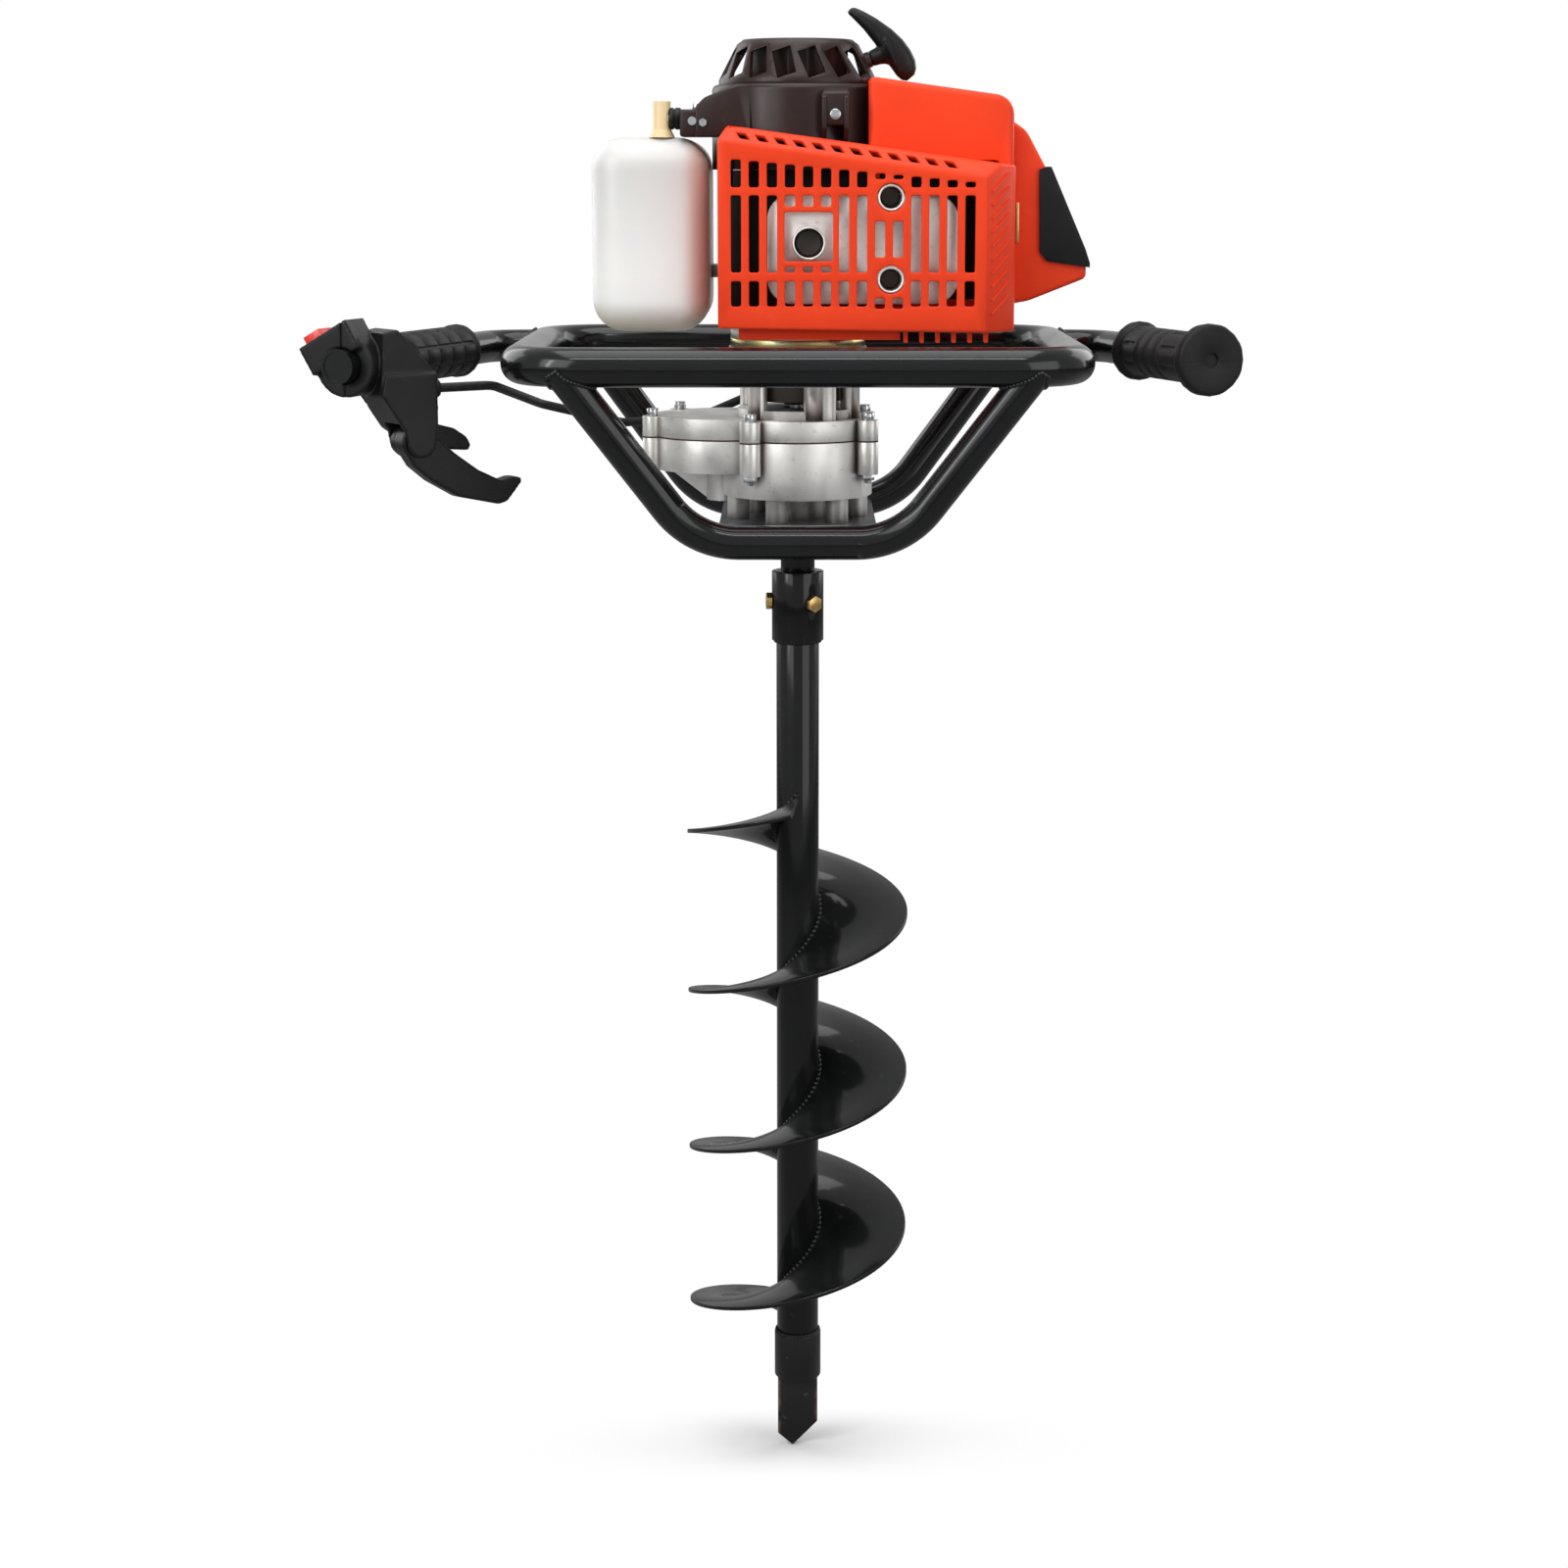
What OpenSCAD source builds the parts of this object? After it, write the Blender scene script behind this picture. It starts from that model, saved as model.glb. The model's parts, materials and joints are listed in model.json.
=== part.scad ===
// Petrol earth auger: screw bit, reduction gearbox, two-stroke engine and tube frame.
// Lengths in millimetres. The origin is the bit's lowest point, Z runs up the bit, Y points away from the front.

/* [Bit] */
// Diameter of the screw flighting
flight_d = 152; // [100:1:250]
// Rise of the flighting in one turn
flight_pitch = 113; // [60:1:160]
// Height of the flighted length
flight_len = 390; // [200:1:480]
// Thickness of the flighting, measured along the bit
flight_t = 3.2; // [2:0.1:6]
// Height of the flighting's lower end above the point
flight_bottom = 88; // [70:1:160]
// Outer diameter of the bit's tube
bit_tube_d = 29; // [20:0.5:50]
// Wall of the bit's tube
bit_tube_wall = 3; // [1.5:0.1:6]
// Length from the point to the lower end of the drive sleeve
bit_len = 583; // [540:1:800]
// Height of the blade below the tip collar
blade_len = 53; // [30:1:80]
// Width of the blade
blade_w = 28; // [15:0.5:45]
// Thickness of the blade
blade_t = 8; // [3:0.5:14]
// Height of the blade's right shoulder
blade_shoulder = 18; // [8:0.5:30]
// Width of the blade's tang in the collar
tang_w = 14; // [6:0.5:20]
// Length of the blade's tang in the collar
tang_len = 13; // [6:0.5:18]
// Outer diameter of the tip collar
collar_d = 32.5; // [25:0.5:55]
// Length of the tip collar
collar_len = 33; // [24:0.5:60]
// Depth of the tube's socket in the tip collar
collar_socket = 16; // [6:0.5:20]

/* [Drive sleeve] */
// Outer diameter of the drive sleeve
sleeve_d = 35; // [25:0.5:60]
// Length of the drive sleeve
sleeve_len = 47; // [30:0.5:80]
// Depth of the bit tube's seat in the sleeve
sleeve_seat = 14; // [6:0.5:30]
// Thread diameter of the sleeve bolts
sleeve_bolt_d = 6; // [4:0.5:10]
// Head width of the sleeve bolts
sleeve_bolt_head = 10; // [7:0.5:17]
// Head height of the sleeve bolts
sleeve_bolt_head_h = 4; // [2:0.5:8]
// Number of sleeve bolts
sleeve_bolts_n = 3; // [1:1:4]

/* [Gear train] */
// Module of both gear stages
gear_module = 1.5; // [1:0.25:2.5]
// Teeth of both pinions
pinion_teeth = 10; // [9:1:14]
// Teeth of both large gears
gear_teeth = 58; // [40:1:64]
// Face width of the lower stage
lower_face = 13; // [8:0.5:18]
// Face width of the upper stage
upper_face = 11; // [8:0.5:16]
// Direction of the layshaft from the main axis
lay_angle = 160.3; // [120:0.1:200]
// Diameter of the output shaft in the sleeve and the gear
out_shaft_d = 20; // [14:0.5:28]
// Diameter of the output shaft's collar above the sleeve
out_collar_d = 23; // [20.5:0.5:34]
// Diameter of the layshaft
lay_shaft_d = 9; // [6:0.5:10]
// Diameter of the input shaft
in_shaft_d = 11; // [8:0.5:11]
// Radial wall of the bearings
bearing_wall = 5; // [3:0.5:8]
// Width of the bearings
bearing_w = 7; // [4:0.5:9]
// Radial running clearance of shafts and pins
run_clear = 0.05; // [0.01:0.01:0.1]

/* [Gearbox case] */
// Side wall of the gearbox case
case_wall = 3.5; // [2:0.1:6]
// Free space round the large gears
gear_space = 1.5; // [0.8:0.1:4]
// Floor and lid thickness of the case
case_floor = 4; // [2.5:0.1:8]
// Height of the lower case's round drum
case_h = 37.5; // [34:0.5:60]
// Height of the upper case
lid_h = 13.5; // [12:0.5:24]
// Thickness of the gasket between the case halves
gasket_t = 1; // [0.5:0.1:2]
// Height of the case bolt bosses below the gasket
boss_h = 21.5; // [12:0.5:26]
// Diameter of the case bolt bosses
boss_d = 14; // [10:0.5:20]
// Diameter of the case bolts
case_bolt_d = 5; // [4:0.5:8]
// Thickness of the rib under the layshaft lobe
lobe_rib_t = 6; // [3:0.5:10]
// Head width of the case bolts
case_bolt_head = 8; // [7:0.5:13]
// Height of the posts between case and base plate
post_h = 16; // [10:0.5:30]
// Diameter of the posts
post_d = 15; // [10:0.5:20]
// Number of posts
posts_n = 6; // [4:1:8]
// Diameter of the base bolts
base_bolt_d = 6; // [4:0.5:8]

/* [Frame] */
// Outer diameter of the hoop's tube
hoop_tube_d = 25; // [18:0.5:40]
// Outer diameter of the leg tubes
leg_tube_d = 22; // [16:0.5:32]
// Outer diameter of the handle tubes
handle_tube_d = 22.2; // [18:0.1:28]
// Wall of all frame tubes
tube_wall = 2; // [1:0.1:4]
// Height of the hoop's centre line above the base plate's top
hoop_rise = 109.6; // [90:0.1:140]
// Width of the hoop between centre lines
hoop_w = 354; // [320:1:460]
// Depth of the hoop between centre lines
hoop_depth = 266; // [240:1:360]
// Bend radius of the hoop's corners
hoop_bend = 42; // [30:1:80]
// Distance between the legs' upper ends
leg_top_w = 300; // [220:1:310]
// Distance between the legs' lower corners
leg_low_w = 131; // [110:1:180]
// Distance between the legs' lower rails
leg_low_depth = 226; // [180:1:240]
// Bend radius of the legs
leg_bend = 55; // [30:1:70]
// Thickness of the base plate
plate_t = 6; // [4:0.5:12]
// Width of the base plate
plate_w = 104; // [100:1:130]
// Height of the base plate's top above the drive sleeve
plate_rise = 37; // [20:1:80]
// Distance of the handle tubes' roots behind the middle of the hoop
handle_root_y = 90; // [60:1:90]
// Bend radius of the handle tubes
handle_bend = 26; // [22:1:40]
// Distance from the middle to the start of a grip, sideways
grip_x = 231; // [220:1:280]
// Distance of the start of a grip behind the middle
grip_y = 35; // [10:1:40]
// Turn of the handles away from straight forward
handle_turn = 19.5; // [5:0.5:40]
// Length of the right handle past the start of its grip
right_len = 106; // [90:1:160]
// Length of the left handle past the start of its grip
left_len = 172; // [165:1:220]
// Thickness of the plug in the left handle's end
end_cap_t = 3; // [1:0.5:6]

/* [Grips] */
// Outer diameter of the grips
grip_d = 34; // [28:0.5:42]
// Diameter of the right grip's end flange
grip_end_d = 47; // [38:0.5:60]
// Thickness of the right grip's end flange
grip_end_t = 11; // [5:0.5:16]
// Diameter of the grips' inner flange
grip_flange_d = 40; // [34:0.5:50]
// Length of the left grip
left_grip_len = 92; // [60:1:100]
// Width of one grip groove
groove_w = 3; // [1:0.5:5]
// Depth of the grip grooves
groove_deep = 1; // [0.5:0.1:2]

/* [Clutch and engine base] */
// Height of the clutch housing
clutch_h = 47; // [44:0.5:70]
// Outer diameter of the clutch drum
drum_d = 60; // [50:0.5:70]
// Height of the clutch drum
drum_h = 22; // [18:0.5:26]
// Wall of the clutch drum
drum_wall = 2.5; // [1.5:0.1:4]
// Diameter of the clutch housing's columns
column_d = 13; // [8:0.5:18]
// Thickness of the clutch housing's flanges
flange_t = 6; // [4:0.5:8]
// Thickness of the plated mount plate
mount_t = 6; // [3:0.5:10]
// Diameter of the mount plate
mount_d = 90; // [84:1:110]

/* [Engine] */
// Height of the cylinder's axis above the mount plate
cyl_h = 68; // [64:0.5:80]
// Outer diameter of the crankcase
crankcase_d = 72; // [66:1:80]
// Wall of the crankcase
crankcase_wall = 5; // [3:0.5:8]
// Diameter of the crank webs
web_d = 54; // [40:1:56]
// Thickness of each crank web
web_t = 10; // [6:0.5:12]
// Gap between the crank webs
web_gap = 12; // [8:0.5:16]
// Diameter of the crankshaft
crank_d = 14; // [10:0.5:18]
// Cylinder bore
bore_d = 40; // [34:0.5:44]
// Piston stroke
stroke = 32; // [24:0.5:34]
// Piston length
piston_len = 30; // [24:0.5:34]
// Outer diameter of the cylinder barrel
barrel_d = 50; // [46:0.5:56]
// Width of the cooling fins
fin_w = 66; // [56:1:76]
// Pitch of the cooling fins
fin_pitch = 8; // [5:0.5:12]
// Thickness of the cooling fins
fin_t = 2.2; // [1.5:0.1:3]
// Number of cooling fins
fins_n = 7; // [4:1:8]
// Diameter of the flywheel
flywheel_d = 92; // [70:1:100]
// Thickness of the flywheel
flywheel_t = 12; // [6:0.5:14]
// Height of the fan blades
blade_h = 9; // [4:0.5:10]
// Number of fan blades
fan_blades = 16; // [8:1:24]

/* [Covers] */
// Wall of the plastic covers
cover_wall = 2.5; // [1.5:0.1:4]
// Outer diameter of the fan shroud
shroud_d = 113; // [106:1:124]
// Height of the fan shroud
shroud_h = 55; // [52:0.5:60]
// Base diameter of the starter cover
dome_base_d = 104; // [96:1:108]
// Top diameter of the starter cover
dome_top_d = 76; // [66:1:90]
// Height of the starter cover
dome_h = 29; // [26:0.5:36]
// Number of openings in the starter cover
dome_slots = 16; // [8:1:20]
// Lean of the starter cover's ribs
dome_lean = 18; // [0:1:30]
// Front to back size of the cylinder cover
hood_y = 100; // [90:1:110]
// Reach of the cylinder cover to the right
hood_x = 141; // [138:0.5:150]
// Reach of the cover's nose past the cylinder cover
nose_len = 48; // [30:0.5:60]
// Front face of the muffler guard, in front of the crank axis
guard_y = 86; // [80:0.5:100]
// Left edge of the guard, left of the crank axis
guard_left = 51; // [48:0.5:54]
// Slot pitch of the guard
slot_pitch = 11.45; // [9:0.05:14]
// Slot width of the guard
slot_w = 6.4; // [3:0.1:8]
// Number of slot columns
slots_n = 14; // [8:1:14]

/* [Fuel and air] */
// Width of the fuel tank
tank_w = 77; // [60:0.5:90]
// Height of the fuel tank
tank_h = 125; // [100:0.5:128]
// Front to back size of the fuel tank
tank_depth = 114; // [90:0.5:116]
// Corner radius of the fuel tank
tank_r = 20; // [8:0.5:28]
// Wall of the fuel tank
tank_wall = 2.5; // [1.5:0.1:4]
// Diameter of the filler cap
cap_d = 40; // [30:0.5:50]
// Height of the filler cap
cap_h = 13; // [8:0.5:20]
// Diameter of the exhaust outlet
outlet_d = 18.5; // [10:0.5:22]
// Wall of the exhaust outlet
outlet_wall = 1.2; // [0.8:0.1:3]
// Width of the muffler box
muffler_w = 122; // [100:1:124]
// Height of the muffler box
muffler_h = 70; // [60:1:72]
// Depth of the muffler box
muffler_t = 36; // [30:0.5:36]
// Corner radius of the muffler box
muffler_round = 16; // [8:0.5:20]
// Thickness of the muffler's sheet
muffler_wall = 2; // [1:0.1:3]
// Air between the muffler box and the guard's face
muffler_gap = 10; // [8:0.5:12]
// Outer width of the tubes for the muffler bolts
bolt_tube_d = 17; // [14:0.5:17.5]

/* [Controls] */
// Thickness of the throttle trigger
trigger_t = 13; // [8:0.5:16]
// Thickness of the trigger lock
lock_t = 7; // [4:0.5:9]
// Tilt of the switch box about the left handle
box_tilt = 30; // [0:1:40]
// Diameter of the trigger's pivot pin
pivot_d = 7; // [4:0.5:9]
// Thickness of the control's pivot ears
ear_t = 3; // [2:0.5:5]
// Side clearance of the trigger and its lock
side_clear = 0.4; // [0.2:0.1:1]
// Diameter of the half-throttle button
button_d = 8; // [5:0.5:10]
// Diameter of the throttle cable
cable_d = 6; // [4:0.5:7]

/* [Starter] */
// Diameter of the starter rope
rope_d = 3.5; // [2:0.1:4]
// Diameter of the rope reel
reel_d = 60; // [40:1:66]
// Thickness of the rope reel
reel_t = 12; // [8:0.5:14]
// Diameter of the reel's post
reel_post_d = 16; // [10:0.5:22]

/* [Hidden] */
$fn = 48;
e = 1;
lap = 0.5;
hair = 0.03;

// Heights of the bit and the sleeve
collar_top = blade_len + collar_len;
sleeve_top = bit_len + sleeve_len;
tube_top = bit_len + sleeve_seat;
tube_low = collar_top - collar_socket;
bolt_z = sleeve_top - (sleeve_len - sleeve_seat) / 2 - 4;

// Heights of the frame
plate_z = sleeve_top + plate_rise;
hoop_z = plate_z + hoop_rise;

// Heights of the gearbox
case_z = plate_z + post_h;
seam_z = case_z + case_h;
lid_z = seam_z + gasket_t;
lid_top = lid_z + lid_h;
boss_z = seam_z - boss_h;
floor_z = case_z + case_floor;
low_gear_z = floor_z + 2;
low_gear_top = low_gear_z + lower_face;
up_gear_z = low_gear_top + 3;
up_gear_top = up_gear_z + upper_face;
lay_low_z = low_gear_z - 2 - bearing_w;
lay_top_z = up_gear_top + 2;

// Gear and case radii
gear_r = gear_module * gear_teeth / 2;
pinion_r = gear_module * pinion_teeth / 2;
tooth_top = 0.9 * gear_module;
tooth_root = 1.15 * gear_module;
lay_dist = gear_r + pinion_r;
lay_c = [lay_dist * cos(lay_angle), lay_dist * sin(lay_angle)];
cavity_r = gear_r + tooth_top + gear_space;
case_r = cavity_r + case_wall;
boss_r = boss_d / 2;
boss_ring = case_r + case_bolt_head * 0.62 + 1;
lobe_ring = case_r + boss_r - 5;
main_angles = [-124, -34, 35];
lobe_angles = [198, 130, 75];
boss_points = concat([for (a = main_angles) boss_ring * [cos(a), sin(a)]],
    [for (a = lobe_angles) lay_c + lobe_ring * [cos(a), sin(a)]]);
post_ring = case_r - post_d / 2 - 2;
out_bearing_r = out_collar_d / 2 + bearing_wall;
lay_bearing_r = lay_shaft_d / 2 + bearing_wall;
in_bearing_r = in_shaft_d / 2 + bearing_wall;

// Heights of the clutch and the engine
clutch_top = lid_top + clutch_h;
engine_z = clutch_top + mount_t;
cyl_z = engine_z + cyl_h;
drum_z = lid_top + flange_t + 5;
drum_r = drum_d / 2;
shoe_z = drum_z + drum_wall + 3;
crank_low = drum_z + drum_wall + 2;
column_ring = drum_r + column_d / 2 + 1;
mount_hole = drum_r + 1.5;
crank_r = crank_d / 2;
case_in_r = crankcase_d / 2 - crankcase_wall;
web_low = cyl_z - web_gap / 2 - web_t;
web_top = cyl_z + web_gap / 2 + web_t;
crankcase_top = web_top + 3 + crankcase_wall + 18;
shroud_z = crankcase_top;
shroud_top = shroud_z + shroud_h;
fly_z = shroud_z + cover_wall + 2.5;
fly_top = fly_z + flywheel_t;
hub_top = fly_top + blade_h + 2;
dome_top = shroud_top + dome_h;
reel_z = hub_top + 2;

// Cylinder stations along X
pad_x = crankcase_d / 2 + 2;
fin_x = pad_x + 10;
barrel_x = fin_x + (fins_n - 1) * fin_pitch + fin_t + 4;
bore_x = barrel_x - 4;
head_x = barrel_x + 8;
piston_top = bore_x - 1 - stroke / 2;
piston_low = piston_top - piston_len;
wrist_x = piston_low + 12;
port_x = pad_x + 28;
port_r = 9;

// Cover points
hood_x0 = 45.5;
hood_z = shroud_top + 4.5;
hood_low = engine_z + 20;
hood_drop = 0.138;
guard_z = engine_z + 10;
guard_top = guard_z + 128;
guard_drop = 0.135;
guard_right = hood_x - 1;
guard_back = hood_y / 2;
guard_slope = atan(guard_drop);
facet_h = 9;
facet_d = 13;
facet_turn = atan(facet_h / facet_d);
facet_w = norm([facet_h, facet_d]);
slot_x0 = 35.1 - (slots_n - 1) * slot_pitch / 2;
muffler_x = 41.5;
muffler_z = cyl_z - 8;
outlet_x = 7;
outlet_z = cyl_z - 4;
bolt_x = 59.2;
bolt_up = cyl_z + 24.7;
bolt_down = cyl_z - 27.1;

// Fuel tank place
tank_gap = 0.5;
tank_x = -shroud_d / 2 - tank_gap - tank_w / 2;
tank_z = engine_z + 5.6;
tank_top = tank_z + tank_h;
lug_z = tank_top;
grommet_c = [tank_x + 7.5, -tank_depth / 2 + 20, tank_top];

// Handle directions
hoop_r = hoop_tube_d / 2;
leg_r = leg_tube_d / 2;
bar_r = handle_tube_d / 2;
leg_z = plate_z - plate_t / 2;
right_dir = [sin(handle_turn), -cos(handle_turn), 0];
left_dir = [-sin(handle_turn), -cos(handle_turn), 0];
right_start = [grip_x, grip_y, hoop_z];
left_start = [-grip_x, grip_y, hoop_z];
root_back = (handle_root_y - grip_y) / cos(handle_turn);
right_corner = right_start - right_dir * root_back;
left_corner = left_start - left_dir * root_back;
left_in = [cos(handle_turn), -sin(handle_turn), 0];

// Trigger plane on the left handle
trig_turn = 35;
trig_x = [cos(trig_turn), sin(trig_turn), 0];
trig_front = [sin(trig_turn), -cos(trig_turn), 0];
pivot_along = 128;
pivot_in = 30;
pivot_drop = 49.6;
pivot = left_start + left_dir * pivot_along + left_in * pivot_in - [0, 0, pivot_drop];
trig_q0 = -4;
trig_q1 = trig_q0 + trigger_t;
lock_q1 = trig_q0 - side_clear;
lock_q0 = lock_q1 - lock_t;
ear_front = trig_q1 + side_clear;
ear_back = lock_q0 - side_clear;
arm_r = 12;
button_y = 20.5;
button_q = -5;
boot_y = 33;
boot_q = -4;
switch_z = 153;
switch_y = 23;

// Starter pull line
pull_dir = [0.93, 0, 0.3676];
pull_from = [46, 0, dome_top - 13];
pull_seat = pull_from + 3.2 * pull_dir;

// Route of the throttle cable from the control to the carburettor
cable_from = pivot + arm_r * trig_x + boot_q * trig_front + [0, 0, boot_y];
cable_points = [cable_from, cable_from + 48 * trig_x, [-172, 0, hoop_z - 33.6], [-120, 40, hoop_z - 49.6],
    [-70, 88, hoop_z - 50.6], [10, 96, hoop_z - 16.6], [port_x - 6, 60, cyl_z - 56], [port_x - 6, 60, cyl_z - 18]];

function unit(v) = v / norm(v);
function clip(v) = max(-1, min(1, v));

// Move children to a point with their Z on the given direction
module aim(p, d) {
    translate(p)
        rotate([0, acos(clip(d[2])), atan2(d[1], d[0])])
            children();
}

// Move children to a point with their Z on d and their X on x
module aim_x(p, d, x) {
    b = acos(clip(d[2]));
    c = atan2(d[1], d[0]);
    xa = [cos(b) * cos(c), cos(b) * sin(c), -sin(b)];
    ya = [-sin(c), cos(c), 0];
    aim(p, d)
        rotate([0, 0, atan2(x * ya, x * xa)])
            children();
}

module ring2(ro, ri) {
    difference() {
        circle(ro);
        if (ri > 0) circle(ri);
    }
}

module ring(ro, ri, h) {
    linear_extrude(h)
        ring2(ro, ri);
}

module run(a, b, ro, ri) {
    aim(a, unit(b - a))
        ring(ro, ri, norm(b - a));
}

// One bend of a tube at corner p between the directions d0 and d1
module bend(p, d0, d1, rad, ro, ri) {
    turn = acos(clip(d0 * d1));
    n = unit(cross(d0, d1));
    m = cross(n, d0);
    aim_x(p - d0 * rad * tan(turn / 2) + m * rad, n, -m)
        rotate_extrude(angle = turn)
            translate([rad, 0])
                ring2(ro, ri);
}

function cut_back(p, i, rad) = let (n = len(p))
    i <= 0 || i >= n - 1 ? 0 : rad * tan(acos(clip(unit(p[i] - p[i - 1]) * unit(p[i + 1] - p[i]))) / 2);

// A tube along open points with round bends, each bend a hair thinner and let into the straight runs
module tube_path(p, rad, ro, ri) {
    n = len(p);
    for (i = [0 : n - 2]) {
        d = unit(p[i + 1] - p[i]);
        lap0 = i > 0 ? lap : 0;
        lap1 = i < n - 2 ? lap : 0;
        run(p[i] + d * (cut_back(p, i, rad) - lap0), p[i + 1] - d * (cut_back(p, i + 1, rad) - lap1), ro, ri);
    }
    for (i = [1 : n - 2])
        bend(p[i], unit(p[i] - p[i - 1]), unit(p[i + 1] - p[i]), rad, ro - hair, ri > 0 ? ri + hair : 0);
}

// A closed rectangular tube with round corners
module tube_loop(x, y, z, rad, ro, ri) {
    for (s = [-1, 1]) {
        run([-x + rad, s * y, z], [x - rad, s * y, z], ro, ri);
        run([s * x, -y + rad, z], [s * x, y - rad, z], ro, ri);
    }
    for (k = [0 : 3])
        translate([(k == 0 || k == 3 ? 1 : -1) * (x - rad), (k < 2 ? 1 : -1) * (y - rad), z])
            rotate([0, 0, 90 * k])
                rotate_extrude(angle = 90)
                    translate([rad, 0])
                        ring2(ro, ri);
}

// A flat outline with round corners, centred
module round_rect(w, h, r) {
    square([w - 2 * r, h], center = true);
    square([w, h - 2 * r], center = true);
    for (x = [-1, 1]) for (y = [-1, 1])
        translate([x * (w / 2 - r), y * (h / 2 - r)])
            circle(r);
}

// An outline in X and Z, drawn out along Y from y0 to y1
module side_prism(points, y0, y1) {
    translate([0, y1, 0])
        rotate([90, 0, 0])
            linear_extrude(y1 - y0)
                polygon(points);
}

// Outline of a straight-sided gear with one tooth on +X
function gear_points(z) = [for (i = [0 : z - 1]) for (k = [0 : 3])
    let (rp = gear_module * z / 2,
        r = k == 0 || k == 3 ? rp - tooth_root : rp + tooth_top,
        w = k == 0 || k == 3 ? 1.75 * gear_module : 0.57 * gear_module,
        a = 360 / z * i + (k < 2 ? -1 : 1) * w / 2 / r * 180 / PI)
    r * [cos(a), sin(a)]];

// Bit

module tip_blade() {
    color("dimgray") {
        side_prism([[-blade_w / 2, blade_shoulder / 2], [-blade_w / 8, 0], [blade_w / 2, blade_shoulder],
            [blade_w / 2, blade_len], [-blade_w / 2, blade_len]], -blade_t / 2, blade_t / 2);
        translate([-tang_w / 2, -blade_t / 2, blade_len])
            cube([tang_w, blade_t, tang_len]);
    }
}

module tip_collar() {
    color("dimgray")
        difference() {
            translate([0, 0, blade_len])
                cylinder(h = collar_len, d = collar_d);
            translate([0, 0, tube_low])
                cylinder(h = collar_socket + e, d = bit_tube_d);
            translate([-tang_w / 2, -blade_t / 2, blade_len - e])
                cube([tang_w, blade_t, tang_len + e]);
        }
}

module auger_tube() {
    color("black")
        translate([0, 0, tube_low])
            ring(bit_tube_d / 2, bit_tube_d / 2 - bit_tube_wall, tube_top - tube_low);
}

module flighting() {
    turn = flight_len / flight_pitch * 360;
    wide = flight_t / flight_pitch * 360;
    inner = bit_tube_d / 2 + 0.15;
    outer = flight_d / 2;
    color("black")
        translate([0, 0, flight_bottom])
            rotate([0, 0, 105])
                linear_extrude(height = flight_len, twist = -turn, slices = 180, $fn = 24)
                    polygon([[inner, 0], [outer, 0], outer * [cos(wide), sin(wide)],
                        inner * [cos(wide), sin(wide)]]);
}

module drive_sleeve() {
    color("black")
        difference() {
            translate([0, 0, bit_len])
                cylinder(h = sleeve_len, d = sleeve_d);
            translate([0, 0, bit_len - e])
                cylinder(h = sleeve_seat + e, d = bit_tube_d);
            translate([0, 0, bit_len])
                cylinder(h = sleeve_len + e, d = out_shaft_d);
            sleeve_bolt_places()
                cylinder(h = sleeve_d, d = sleeve_bolt_d);
        }
}

module sleeve_bolt_places() {
    for (i = [0 : sleeve_bolts_n - 1])
        translate([0, 0, bolt_z])
            rotate([0, 0, -56 + 360 / sleeve_bolts_n * i])
                rotate([0, 90, 0])
                    children();
}

module sleeve_bolts() {
    color("goldenrod")
        sleeve_bolt_places() {
            translate([0, 0, out_shaft_d / 2])
                cylinder(h = (sleeve_d - out_shaft_d) / 2 + e, d = sleeve_bolt_d);
            translate([0, 0, sleeve_d / 2])
                cylinder(h = sleeve_bolt_head_h, d = sleeve_bolt_head / cos(30), $fn = 6);
        }
}

// Gear train

module output_shaft() {
    color("silver") {
        translate([0, 0, tube_top])
            cylinder(h = low_gear_top - tube_top, d = out_shaft_d);
        translate([0, 0, sleeve_top])
            cylinder(h = floor_z + 1 - sleeve_top, d = out_collar_d);
    }
}

module output_gear() {
    color("gray")
        translate([0, 0, low_gear_z])
            rotate([0, 0, lay_angle])
                linear_extrude(lower_face)
                    difference() {
                        polygon(gear_points(gear_teeth));
                        circle(d = out_shaft_d);
                    }
}

module layshaft() {
    color("silver")
        translate(lay_c) {
            translate([0, 0, lay_low_z])
                cylinder(h = lay_top_z + bearing_w - lay_low_z, d = lay_shaft_d);
            translate([0, 0, low_gear_z])
                rotate([0, 0, lay_angle + 180 + 180 / pinion_teeth])
                    linear_extrude(lower_face)
                        polygon(gear_points(pinion_teeth));
        }
}

module layshaft_gear() {
    color("gray")
        translate([lay_c[0], lay_c[1], up_gear_z])
            rotate([0, 0, lay_angle + 180 + 180 / gear_teeth])
                linear_extrude(upper_face)
                    difference() {
                        polygon(gear_points(gear_teeth));
                        circle(d = lay_shaft_d);
                    }
}

module input_shaft() {
    color("silver") {
        translate([0, 0, up_gear_z])
            rotate([0, 0, lay_angle])
                linear_extrude(upper_face)
                    polygon(gear_points(pinion_teeth));
        translate([0, 0, up_gear_z])
            cylinder(h = drum_z + drum_wall - up_gear_z, d = in_shaft_d);
    }
}

// Gearbox case

module case_posts() {
    for (i = [0 : posts_n - 1])
        rotate([0, 0, -110 + 360 / posts_n * i])
            translate([post_ring, 0, 0])
                children();
}

module boss_places() {
    for (p = boss_points)
        translate(p)
            children();
}

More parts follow.
